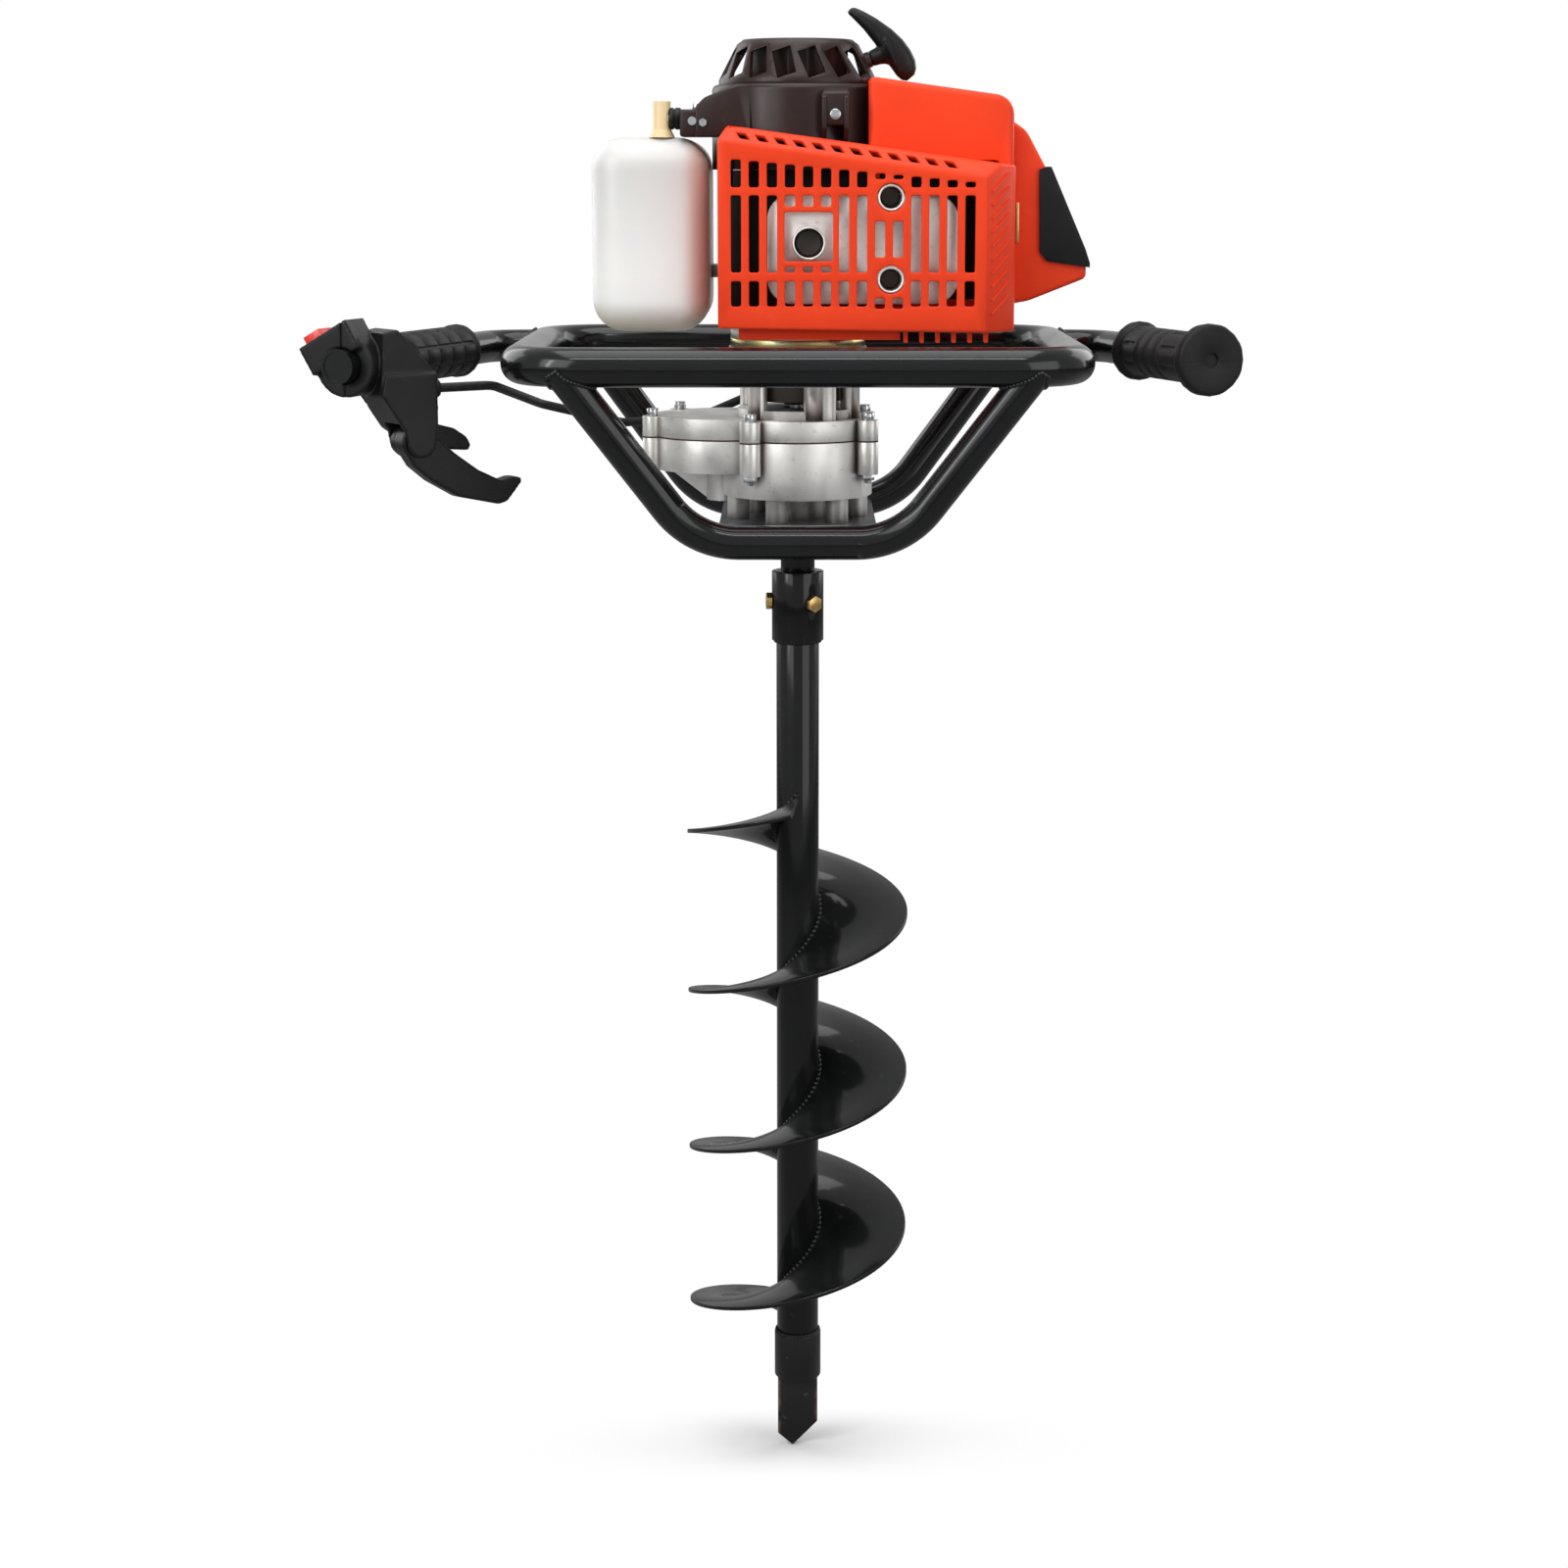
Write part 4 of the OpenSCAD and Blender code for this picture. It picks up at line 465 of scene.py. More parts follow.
# The frame: round steel tube bent cold into a hoop and two U-shaped legs, the handles butted on, all welded
# and dipped in gloss black; the base plate is flat bar welded between the legs' lower rails.
frame_paint = skinned("frame_gloss_black", sprayed, 0.04, coat=0.6, coat_roughness=0.13, specular=0.06,
                      Paint=(0.0045, 0.0049, 0.0056), Scuff=(0.02, 0.021, 0.023), Scuffs=0.3,
                      Smoothest=0.2, Roughest=0.31)
# the plate's black is lifted to a blue-grey: a painted reflection of the pale surround
plate_paint_with_reflection = skinned("plate_black_painted_reflection", sprayed, 0.15, specular=0.3, Paint=(0.045, 0.049, 0.056),
                      Scuff=(0.12, 0.12, 0.125), Scuffs=0.5, Smoothest=0.4, Roughest=0.55)
for node in ("frame_hoop", "front_leg", "rear_leg", "left_handle_tube", "right_handle_tube"):
    eased(node, 0, frame_paint)
eased("base_plate", 0.0008, plate_paint_with_reflection)

hoop_z = 0.7766
hoop_half = (0.177, 0.133)
hoop_bend = 0.042
hoop_r = 0.0125
leg_r = 0.011
leg_top_x = 0.150
leg_foot = (0.0655, 0.113, 0.664)
handle_r = 0.0111
handle_root_y = 0.090
plate_seam_half = 0.05
plate_seam_y = 0.1024
plate_seam_z = 0.6674


def from_hoop(point):
    """How far a point lies from the hoop's centre line, a rectangle with round corners."""
    qx = abs(point.x) - hoop_half[0] + hoop_bend
    qy = abs(point.y) - hoop_half[1] + hoop_bend
    aside = math.hypot(max(qx, 0), max(qy, 0)) + min(max(qx, qy), 0) - hoop_bend
    return math.hypot(aside, point.z - hoop_z)


def saddle(start, along, radius, steps=48):
    """The seam where a tube leaves the hoop: out along each of its lines until it is past the hoop's skin."""
    across = along.orthogonal().normalized()
    over = along.cross(across)
    seam = []
    for i in range(steps + 1):
        turn = math.tau * i / steps
        line = start + (across * math.cos(turn) + over * math.sin(turn)) * radius
        near, far = 0.0, 0.06
        for halving in range(24):
            middle = (near + far) / 2
            if from_hoop(line + along * middle) < hoop_r + 0.0003:
                near = middle
            else:
                far = middle
        seam.append(line + along * far)
    return seam


seams = []
for side in (-1, 1):
    for hand in (-1, 1):
        top = Vector((hand * leg_top_x, side * hoop_half[1], hoop_z))
        foot = Vector((hand * leg_foot[0], side * leg_foot[1], leg_foot[2]))
        seams.append(saddle(top, (foot - top).normalized(), leg_r))
for hand in (-1, 1):
    root = Vector((hand * hoop_half[0], handle_root_y, hoop_z))
    seams.append(saddle(root, Vector((hand, 0, 0)), handle_r))
plate_seam_xs = [plate_seam_half * (i / 20 - 1) for i in range(41)]
for side in (-1, 1):
    seams.append([Vector((x, side * plate_seam_y, plate_seam_z)) for x in plate_seam_xs])
weld("frame_welds", seams, radius=0.0016, pitch=0.0024, material=frame_paint, body="machine")

zinc_plate = metal("zinc_plated", 0.05, Metal=(0.6, 0.63, 0.65), Stain=(0.25, 0.25, 0.25), Stains=0.4,
                   Smoothest=0.16, Roughest=0.3, Grain=700)
eased("base_bolts", 0.0005, zinc_plate)


# The gearbox: two pressure-cast alloy halves shut by six through bolts over a paper gasket; the lower half
# stands on posts on the base plate, and the left lobe covers the layshaft.
def mottled(name, scale, first, second, roughness, low=0.3, high=0.7, **shading):
    """A material whose colour wavers between two shades."""
    material, tree, shader = finish(name, **shading)
    shade = blended(tree, noise_mask(tree, spot_on(tree), scale, low, high), first, second)
    feed(tree, shader, {"Base Color": shade, "Roughness": roughness})
    return material


# the cast alloy takes painted shade that darkens its corners
cast_alloy = metal("cast_alloy", 0.22, metallic=0.9, Metal=(0.78, 0.765, 0.74), Stain=(0.32, 0.3, 0.28),
                   Stains=0.3, Smoothest=0.32, Roughest=0.46, Grain=900, Grime=0.85)
gasket_paper = mottled("gasket_paper", 300, (0.05, 0.02, 0.012), (0.09, 0.04, 0.022), roughness=0.75,
                       specular=0.2)
eased("gearbox_lower_case", 0.0011, cast_alloy, 3)
eased("gearbox_upper_case", 0.0011, cast_alloy, 3)
eased("gearbox_bolts", 0.0005, zinc_plate)
eased("gearbox_gasket", 0, gasket_paper)


# The clutch housing: a cast spider of round columns between two flanges round the drum, under the plated
# plate that the engine stands on.
def greenish(tree, plate):
    """Yellow plating that turns greenish in patches."""
    return blended(tree, noise_mask(tree, spot_on(tree), 45, 0.35, 0.65), plate, (0.5, 0.52, 0.3))


sooty_steel = metal("sooty_steel", 0.1, metallic=0.4, Metal=(0.045, 0.036, 0.03), Stain=(0.012, 0.01, 0.009),
                    Stains=0.6, Smoothest=0.45, Roughest=0.65, Grain=600)
yellow_zinc = metal("yellow_zinc", 0.05, depth=0.0003, over=greenish, Metal=(0.6, 0.47, 0.2),
                    Stain=(0.4, 0.3, 0.32), Stains=0.5, Smoothest=0.2, Roughest=0.36, Grain=700)
eased("clutch_housing", 0, cast_alloy)
eased("clutch_drum", 0.0006, sooty_steel)
eased("mount_plate", 0.0006, yellow_zinc)


# The engine: a single-cylinder two-stroke with an upright crank; cast crankcase halves, a finned cylinder
# lying to the right, and the carburettor with its filter box behind.
for node, radius in (("crankcase_lower", 0.001), ("crankcase_upper", 0.001), ("engine_cylinder", 0.0004),
                     ("carburettor", 0.0012)):
    eased(node, radius, cast_alloy)
repainted(cast_alloy, "flywheel", "piston")
ceramic = mottled("plug_ceramic", 120, (0.78, 0.77, 0.74), (0.86, 0.86, 0.84), roughness=0.2, coat=0.6)
eased("spark_plug", 0.0004, ceramic)

# moulded plastic and rubber: fine spark-eroded texture, cloudy gloss and faint handling marks
moulded, given, put, spot, handled = skin_group(
    "moulded_plastic", "Plastic", "Mark", cloud=(18,), flecks=(110, 0.62, 0.75, 6), spread=(0.94, 1.05),
    more=("Texture",))
pebbles = wired(moulded, "TexNoise", {"Vector": spot, "Scale": given["Texture"], "Detail": 2})
feed(moulded, put, {"Color": handled, "Height": pebbles})


def plastic(name, bump, **values):
    """Moulded plastic or rubber in one colour."""
    return skinned(name, moulded, bump, **values)


black_plastic = plastic("black_moulding", 0.14, specular=0.24, Plastic=(0.0055, 0.0057, 0.0062),
                        Mark=(0.022, 0.022, 0.023), Marks=0.25, Smoothest=0.34, Roughest=0.48, Texture=1100)
eased("air_filter_cover", 0.0016, black_plastic, 3)
eased("choke_lever", 0.0006, black_plastic)


# The muffler: a pressed steel box with an outlet spigot and two deep tubes for its mounting bolts; dark discs
# shut their mouths, for soot in the outlet and painted shade deep in the bolt tubes.
muffler_steel = metal("muffler_steel", 0.1, metallic=0.85, Metal=(0.8, 0.775, 0.74), Stain=(0.4, 0.3, 0.22),
                      Stains=0.3, Smoothest=0.3, Roughest=0.46, Grain=500)
eased("muffler", 0.0005, muffler_steel)
outlet_at = (7, -74, 852)
outlet_r = 9.1
bolt_tube_x = 59.2
bolt_tube_y = -62
bolt_tube_zs = (880.7, 828.9)
bolt_tube_r = 6.6


def stud(shape, place, back_r, front_r, depth, segments):
    """Add a short round piece that points to the front, all in millimetres."""
    to_front = Matrix.Translation(Vector(place) / 1000) @ Matrix.Rotation(math.radians(90), 4, "X")
    bmesh.ops.create_cone(shape, cap_ends=True, segments=segments, radius1=back_r / 1000,
                          radius2=front_r / 1000, depth=depth / 1000, matrix=to_front)


mouths = [(outlet_at, outlet_r)] + [((bolt_tube_x, bolt_tube_y, z), bolt_tube_r) for z in bolt_tube_zs]
# dark discs in the three mouths: soot in the outlet, painted shade in the bolt tubes
soot_and_shade_shape = bmesh.new()
for place, radius in mouths:
    stud(soot_and_shade_shape, place, radius, radius - 1.5, 1.2, 32)
fixed(made("muffler_soot_and_shade", soot_and_shade_shape, sooty_steel))
eased("cover_screws", 0.0004, zinc_plate)


# The covers: a slotted heat guard over the muffler and a hood over the cylinder with a nose for the plug,
# both moulded in orange plastic; the black cap on the nose lifts off to reach the plug.
orange_plastic = plastic("orange_moulding", 0.08, specular=0.16, Plastic=(0.84, 0.055, 0.014),
                         Mark=(0.95, 0.09, 0.03), Marks=0.3, Smoothest=0.4, Roughest=0.54, Texture=800)


def block(xs, ys, zs):
    """The corner points of a block."""
    return [(x, y, z) for x in xs for y in ys for z in zs]


def hull(points, radius, segments=3):
    """A convex moulding through corner points given in millimetres, its edges rounded."""
    shape = bmesh.new()
    for point in points:
        shape.verts.new(Vector(point) / 1000)
    bmesh.ops.convex_hull(shape, input=shape.verts)
    bmesh.ops.dissolve_limit(shape, angle_limit=math.radians(1.5), verts=shape.verts, edges=shape.edges)
    bmesh.ops.bevel(shape, geom=list(shape.edges), offset=radius / 1000, segments=segments, profile=0.5,
                    affect="EDGES", clamp_overlap=True)
    return shape


def added(shape, points, radius, segments=3):
    """Put a second convex moulding into a shape."""
    other = hull(points, radius, segments)
    mesh = bpy.data.meshes.new("added")
    other.to_mesh(mesh)
    other.free()
    shape.from_mesh(mesh)


def facing(shape, way):
    """The largest face that looks a given way."""
    way = Vector(way).normalized()
    return max((f for f in shape.faces if f.normal.dot(way) > 0.97), key=lambda f: f.calc_area())


def slot_outline(x0, z0, x1, z1, radius, lean=0.0, steps=4):
    """A rectangle with round corners, in millimetres, leaning sideways by a share of its height."""
    outline = []
    for cx, cz, start in ((x1 - radius, z1 - radius, 0), (x0 + radius, z1 - radius, 90),
                          (x0 + radius, z0 + radius, 180), (x1 - radius, z0 + radius, 270)):
        for i in range(steps + 1):
            a = math.radians(start + 90 * i / steps)
            z = cz + radius * math.sin(a)
            outline.append((cx + radius * math.cos(a) + lean * (z - z0), z))
    return outline


def circle(steps):
    """Points round a circle of radius one."""
    return [(math.cos(math.tau * i / steps), math.sin(math.tau * i / steps)) for i in range(steps)]


def round_outline(x, z, radius, steps=32):
    """A circle in millimetres."""
    return [(x + radius * c, z + radius * s) for c, s in circle(steps)]


def inside(point, outline):
    """Whether a point lies within a convex outline."""
    return all((end - start).cross(point - start) > 0 for start, end in zip(outline[-1:] + outline, outline))


def pierced(shape, face, origin, holes, rim, depth, across=(1, 0, 0), up=(0, 0, 1)):
    """Cut holes with rounded rims through one flat face; a hole is an outline on the face in millimetres."""
    origin, across, up = Vector(origin) / 1000, Vector(across), Vector(up)
    outward = face.normal.copy()
    loops = [list(face.verts)]
    bmesh.ops.delete(shape, geom=[face], context="FACES_ONLY")
    turns = [math.radians(turn) for turn in (0, 30, 60, 90)]
    levels = [(rim * (1 - math.sin(turn)), rim * (1 - math.cos(turn))) for turn in turns] + [(0, depth)]
    for hole in holes:
        count = len(hole)
        points = [Vector(p) for p in hole]
        along = [(points[(i + 1) % count] - points[i - 1]).normalized() for i in range(count)]
        rows = []
        for grow, sink in levels:
            edge = [p + Vector((way.y, -way.x)) * grow for p, way in zip(points, along)]
            rows.append([shape.verts.new(origin + (across * p.x + up * p.y - outward * sink) / 1000)
                         for p in edge])
        for first, second in zip(rows, rows[1:]):
            for i in range(count):
                shape.faces.new((first[i - 1], first[i], second[i], second[i - 1]))
        loops.append(rows[0])
    flat = [v for loop in loops for v in loop]
    plane = [Vector(((v.co - origin).dot(across), (v.co - origin).dot(up))) * 1000 for v in flat]
    sides, rims, start = [], [], 0
    for loop in loops:
        sides += [(start + i, start + (i + 1) % len(loop)) for i in range(len(loop))]
        rims.append(plane[start:start + len(loop)])
        start += len(loop)
    _, _, triangles, sources, _, _ = delaunay_2d_cdt(plane, sides, [], 1, 0.0001)
    for corners in triangles:
        middle = sum((plane[sources[i][0]] for i in corners), Vector((0, 0))) / 3
        if not any(inside(middle, outline) for outline in rims[1:]):
            shape.faces.new([flat[sources[i][0]] for i in corners])
    bmesh.ops.recalc_face_normals(shape, faces=shape.faces)


def opened(shape, *ways):
    """Take away the flat faces that look given ways."""
    bmesh.ops.delete(shape, geom=[facing(shape, way) for way in ways], context="FACES_ONLY")


def walled(piece, wall):
    """Give an open skin a wall inwards, shut along its free edges."""
    inner = piece.modifiers.new("wall", "SOLIDIFY")
    inner.thickness = wall
    inner.offset = -1
    return baked(piece)


# the guard's bars, its square mouth round the outlet and the two holes over the muffler's bolts
skin_wall = 0.0005
guard_left, guard_front, guard_back = -51, -86, -50
slot_count = 14
slot_first = -39.3
slot_pitch = 11.45
slot_half = 3.2
slot_top = 905.5
guard_slope = 0.094
mouth = (-8.4, 840.6, 22.4, 871.6)
guard_shape = hull(
    [(guard_left, guard_front, 798), (guard_left, guard_front, 916.5), (guard_left, guard_back, 918),
     (guard_left, guard_back, 798), (-45, guard_front, 916.2), (-45, -72, 926), (-45, guard_back, 926),
     (120, guard_front, 795.3), (120, guard_front, 893.9), (130.2, -73, 901.6), (130.2, -73, 795.2),
     (140, -60.4, 901), (140, -60.4, 795), (140, guard_back, 901), (140, guard_back, 795)], 1.8)
guard_holes = []
for i in range(slot_count):
    x = slot_first + i * slot_pitch
    top = slot_top - (x - guard_left) * guard_slope
    if abs(x - bolt_tube_x) < slot_pitch:
        spans = ((892.2, top), (843, 865.7), (810.5, 817.4))
    elif mouth[0] < x < mouth[2]:
        spans = ((887, top), (875, 882), (833.5, 837.2), (812, 828))
    else:
        spans = ((887, top), (833.5, 882), (812, 828))
    guard_holes += [slot_outline(x - slot_half, low, x + slot_half, high, 1.4) for low, high in spans]
guard_holes.append(slot_outline(*mouth, 1.6))
guard_holes += [round_outline(bolt_tube_x, z, 9) for z in bolt_tube_zs]
pierced(guard_shape, facing(guard_shape, (0, -1, 0)), (0, guard_front, 0), guard_holes, 0.8, 2.6)

# leaning vents along the guard's upper bevel
vent_count = 12
vent_pitch = 12.1
bevel = facing(guard_shape, (0.11, -0.57, 0.81))
bevel_across = Vector((1, 0, -0.135)).normalized()
vents = [slot_outline(14.5 + i * vent_pitch, 4.6, 21 + i * vent_pitch, 11.4, 1, -0.55)
         for i in range(vent_count)]
pierced(guard_shape, bevel, (guard_left, guard_front, 917), vents, 0.6, 2.6, bevel_across,
        bevel.normal.cross(bevel_across))
opened(guard_shape, (0, 1, 0))

# a lip hangs below the guard
added(guard_shape, block((-38, 66), (-72, -69), (790, 800)), 0.6, 2)
guard = made("muffler_guard_moulding", guard_shape, orange_plastic, 40)
stands_for(walled(guard, skin_wall), "muffler_guard")

# a comb of cooling tabs beside the lip, and shallow ribs that slant across the guard's right bevel
row_tree, given = empty_tree(
    "row_of_bars", Length="Float", Width="Float", Depth="Float", Round="Float", Count="Int", First="Vector",
    Step="Vector", Turn="Vector", Finish="Material")
outline = wired(row_tree, "CurvePrimitiveQuadrilateral",
                {"Width": given["Length"], "Height": given["Width"]})
rounded = wired(row_tree, "FilletCurve",
                {"Curve": outline, "Radius": given["Round"], "Count": 3}, mode="POLY")
foot = wired(row_tree, "FillCurve", {"Curve": rounded}, mode="NGONS")
raised = wired(row_tree, "ExtrudeMesh", {"Mesh": foot, "Offset Scale": given["Depth"]})
under = wired(row_tree, "FlipFaces", {"Mesh": foot})
bar = wired(row_tree, "JoinGeometry", {"Geometry": [raised, under]})
closed = wired(row_tree, "MergeByDistance", {"Geometry": bar, "Distance": 0.00001})
row = wired(row_tree, "MeshLine",
            {"Count": given["Count"], "Start Location": given["First"], "Offset": given["Step"]})
bars = wired(row_tree, "InstanceOnPoints",
             {"Points": row, "Instance": closed, "Rotation": given["Turn"]})
ended(row_tree, bars, given["Finish"])


def turn_to(along, outward):
    """The turn that lays a bar along one way with its face looking another."""
    along, outward = Vector(along).normalized(), Vector(outward).normalized()
    return tuple(Matrix((along, outward.cross(along), outward)).transposed().to_euler())


for name, sizes in (
    ("guard_comb", dict(Length=0.0115, Width=0.0026, Depth=0.010, Round=0.0006, Count=6,
                        First=(0.0693, -0.076, 0.79425), Step=(0.0103, 0, 0),
                        Turn=turn_to((0, 0, 1), (0, 1, 0)))),
    ("guard_ribs", dict(Length=0.0226, Width=0.0014, Depth=0.0009, Round=0.0005, Count=10,
                        First=(0.1295, -0.0741, 0.8128), Step=(0, 0, 0.0086),
                        Turn=turn_to((12, 15.4, 12), (0.789, -0.615, 0)))),
):
    rows = grown(name, row_tree, Finish=orange_plastic, **sizes)
    fixed(shaded(rows, 40))

# the hood over the cylinder: open below and towards the shroud, with windows behind the guard and the filter
hood_half = 50
hood_left = 45.5
hood_bottom = 808
hood_shape = hull(block((hood_left,), (-hood_half, hood_half), (hood_bottom, 957.5))
                  + [(x, y, z) for y in (-hood_half, hood_half)
                     for x, z in ((133, 945.4), (139.5, 938.3), (141, hood_bottom))], 5, 4)
for side, right, top in ((-1, 131, 904), (1, 99, 896)):
    pierced(hood_shape, facing(hood_shape, (0, side, 0)), (0, side * hood_half, 0),
            [slot_outline(53, 815, right, top, 4)], 0.8, 2.5)
opened(hood_shape, (0, 0, -1), (-1, 0, 0))
nose_side = ((139, 930), (149, 923), (162, 899), (186, 846), (189, 838), (189, 828), (151, 813), (139, 811))
added(hood_shape, [(x, y, z) for y in (-32, 34) for x, z in nose_side], 3.2, 4)
hood = made("cylinder_cover_moulding", hood_shape, orange_plastic, 40)
stands_for(walled(hood, skin_wall), "cylinder_cover")
eased("plug_cover", 0.0014, black_plastic, 3)
clip_shape = hull(block((142.2, 144.4), (-33, -31), (851, 877)), 0.4, 2)
fixed(made("nose_clip", clip_shape, brass_plate))

# a dark sheet behind the muffler, within the guard and the hood: painted shade standing in for the dark
# inside them
shade_sheet_y = -39.2
shade_sheet_half = 0.4
shade_sheet_ys = (shade_sheet_y - shade_sheet_half, shade_sheet_y + shade_sheet_half)
shade_sheet_shape = hull(block((-48, 136), shade_sheet_ys, (802, 897.8)), 0.3, 2)
added(shade_sheet_shape, block((-50, -42), shade_sheet_ys, (880, 912)), 0.3, 2)
for side in (-1, 1):
    pierced(shade_sheet_shape, facing(shade_sheet_shape, (0, side, 0)), (0, shade_sheet_y + shade_sheet_half * side, 0),
            [round_outline(66, 856, 10)], 0.1, 0.4)
fixed(made("dark_shade_sheet", shade_sheet_shape, black_plastic))


# The starter: a dark brown fan shroud with screw lugs, the ribbed cover over the rope reel, and a moulded
# pull handle on a braided cord.
brown_plastic = plastic("brown_moulding", 0.1, specular=0.26, Plastic=(0.021, 0.0105, 0.0095),
                        Mark=(0.05, 0.03, 0.027), Marks=0.22, Smoothest=0.28, Roughest=0.4, Texture=1000)


def bridged(shape, rows, caps=True):
    """Lay a skin over rings of points, with or without caps on its ends."""
    faces = [shape.faces.new((first[i - 1], first[i], second[i], second[i - 1]))
             for first, second in zip(rows, rows[1:]) for i in range(len(first))]
    if caps:
        faces += [shape.faces.new(rows[0]), shape.faces.new(rows[-1])]
    bmesh.ops.recalc_face_normals(shape, faces=faces)


def turned_solid(profile, steps=96):
    """A ring turned about the upright axis from points of radius and height in millimetres."""
    shape = bmesh.new()
    rows = [[shape.verts.new((r * c / 1000, r * s / 1000, z / 1000)) for r, z in profile]
            for c, s in circle(steps)]
    bridged(shape, rows[-1:] + rows, caps=False)
    return shape


# the drum with its rounded shoulder, cut off where the hood starts
shoulder_r = 4
shoulder_turns = [math.radians(turn) for turn in range(0, 91, 15)]
shoulder = [(52.5 + shoulder_r * math.cos(a), 949 + shoulder_r * math.sin(a)) for a in shoulder_turns]
shroud_shape = turned_solid([(54, 898), (56.5, 898)] + shoulder + [(47, 953), (47, 950.5), (53, 948)])
everything = shroud_shape.verts[:] + shroud_shape.edges[:] + shroud_shape.faces[:]
bmesh.ops.bisect_plane(shroud_shape, geom=everything, plane_co=(hood_left / 1000, 0, 0), plane_no=(1, 0, 0),
                       clear_outer=True)
bmesh.ops.holes_fill(shroud_shape, edges=[e for e in shroud_shape.edges if e.is_boundary])
bmesh.ops.recalc_face_normals(shroud_shape, faces=shroud_shape.faces)

# the screw boss in front between two cheeks, and the lug over the tank, run out of the drum with a slope
lug_bottom = 918.8
drum_top = 952
added(shroud_shape, block((15, 33), (-62, -42), (926, 947)) + block((17, 31), (-50, -42), (951,)), 1.6)
for x in (15.5, 29.5):
    cheek = (x, x + 3)
    added(shroud_shape, block(cheek, (-63.4,), (924, 944)) + block(cheek, (-46,), (904, drum_top)), 1, 2)
added(shroud_shape, block((-76, -58), (-50, -24), (lug_bottom, 936.4)), 2)
added(shroud_shape, block((-66,), (-51.5, -24), (lug_bottom, 938)) + block((-60,), (-50, -24), (944,))
      + block((-40,), (-50, -20), (drum_top,)) + block((-30,), (-50, -20), (lug_bottom,))
      + block((-30,), (-46, -20), (drum_top,)), 2.4)
stands_for(made("fan_shroud_moulding", shroud_shape, brown_plastic, 40), "fan_shroud")
eased("starter_cover", 0.0007, brown_plastic)

# two screws on the lug, one hex and one round, and the grooved collar of the fuel hose
lug_screw_shape = bmesh.new()
for place, segments in (((-61, -51.6, 928), 6), ((-68, -50.3, 929), 24)):
    stud(lug_screw_shape, place, 3.2, 2.7, 2.2, segments)
fixed(made("lug_screws", lug_screw_shape, zinc_plate, 30))
collar_at = (-0.0835, -0.037, 0.9306)
collar_shape = turned_solid([(4.6, 0), (6.4, 0), (7, 0.8), (7, 3), (6.2, 3.4), (6.2, 4), (7, 4.4), (7, 7.2),
                             (6.4, 8), (4.6, 8)], 40)
bmesh.ops.transform(collar_shape, verts=collar_shape.verts,
                    matrix=Matrix.Translation(collar_at) @ Matrix.Rotation(math.radians(90), 4, "Y"))
fixed(made("fuel_hose_collar", collar_shape, black_plastic, 40))


def flowing(piece, voxel, turns):
    """Melt a piece's parts into one skin with soft edges."""
    skin = piece.modifiers.new("one_skin", "REMESH")
    skin.mode = "VOXEL"
    skin.voxel_size = voxel
    soft = piece.modifiers.new("soft_edges", "SMOOTH")
    soft.factor = 0.5
    soft.iterations = turns
    material = piece.data.materials[0]
    baked(piece)
    piece.data.materials.clear()
    piece.data.materials.append(material)
    piece.data.shade_smooth()
    return piece


def lofted(shape, sections, across, over, steps=24):
    """A closed skin over oval sections, each a middle, two half-widths and a power for its squareness."""
    rows = []
    for middle, wide, thick, power in sections:
        row = []
        for c, s in circle(steps):
            row.append(shape.verts.new(middle + across * math.copysign(abs(c) ** power, c) * wide
                                       + over * math.copysign(abs(s) ** power, s) * thick))
        rows.append(row)
    bridged(shape, rows)


# the pull handle: a palm-shaped cross bar, a little bowed, that swells towards its lower end and runs into a
# flared stem; its sections are places along the bar or the stem and half-widths, in millimetres
pull = Vector((0.93, 0, 0.3676)).normalized()
pull_from = Vector((0.046, 0, 0.969))
sideways = Vector((0, 1, 0))
bar_way = Vector((0.64, 0, -0.768)).normalized()
bow_way = bar_way.cross(sideways)
bar_middle = pull_from + 0.0157 * pull
bar_sections = ((-37.6, 2.4, 1.9), (-36, 4.2, 3.1), (-31, 5.4, 4.1), (-22, 6.6, 5.5), (-10, 7.4, 7.3),
                (0, 7.6, 8.4), (8, 7.6, 8.6), (15, 7.2, 8), (19.5, 5.8, 6.2), (22, 3, 3.2))
stem_sections = ((2.1, 4.9), (4, 5.3), (7, 5.6), (10, 6.6), (13, 9), (15.5, 12))
bow_rise, bow_drop, bow_middle, bow_reach = 3, 5, -3, 31
bar = []
for along, wide, thick in bar_sections:
    bow = bow_rise - bow_drop * ((along - bow_middle) / bow_reach) ** 2
    bar.append((bar_middle + (bar_way * along + bow_way * bow) / 1000, wide / 1000, thick / 1000, 0.8))
stem = [(pull_from + pull * along / 1000, r / 1000, r / 1000, 1) for along, r in stem_sections]
handle_shape = bmesh.new()
lofted(handle_shape, bar, sideways, bow_way)
lofted(handle_shape, stem, sideways, pull.cross(sideways))
handle = made("pull_handle", handle_shape, black_plastic)
stands_for(flowing(handle, 0.0006, 8), "starter_handle")
repainted(black_plastic, "starter_reel")

# the cord between the cover and the handle
cord_r = 0.00172
cord_from = pull_from - 0.006 * pull
cord_to = pull_from + 0.0032 * pull
cord_finish, tree, shader = finish("braided_cord", specular=0.2)
strands = wired(tree, "TexVoronoi", {"Vector": spot_on(tree), "Scale": 900}, "Distance")
feed(tree, shader, {"Base Color": blended(tree, strands, (0.05, 0.05, 0.052), (0.012, 0.012, 0.012)),
                    "Roughness": 0.8})
relief(tree, shader, strands, 0.5, 0.0004)
cord_shape = bmesh.new()
lofted(cord_shape, [(cord_from.lerp(cord_to, i / 24), cord_r, cord_r, 1) for i in range(25)], sideways,
       pull.cross(sideways), 16)
rope = made("starter_cord", cord_shape, cord_finish)
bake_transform(rope)
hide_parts("starter_rope")


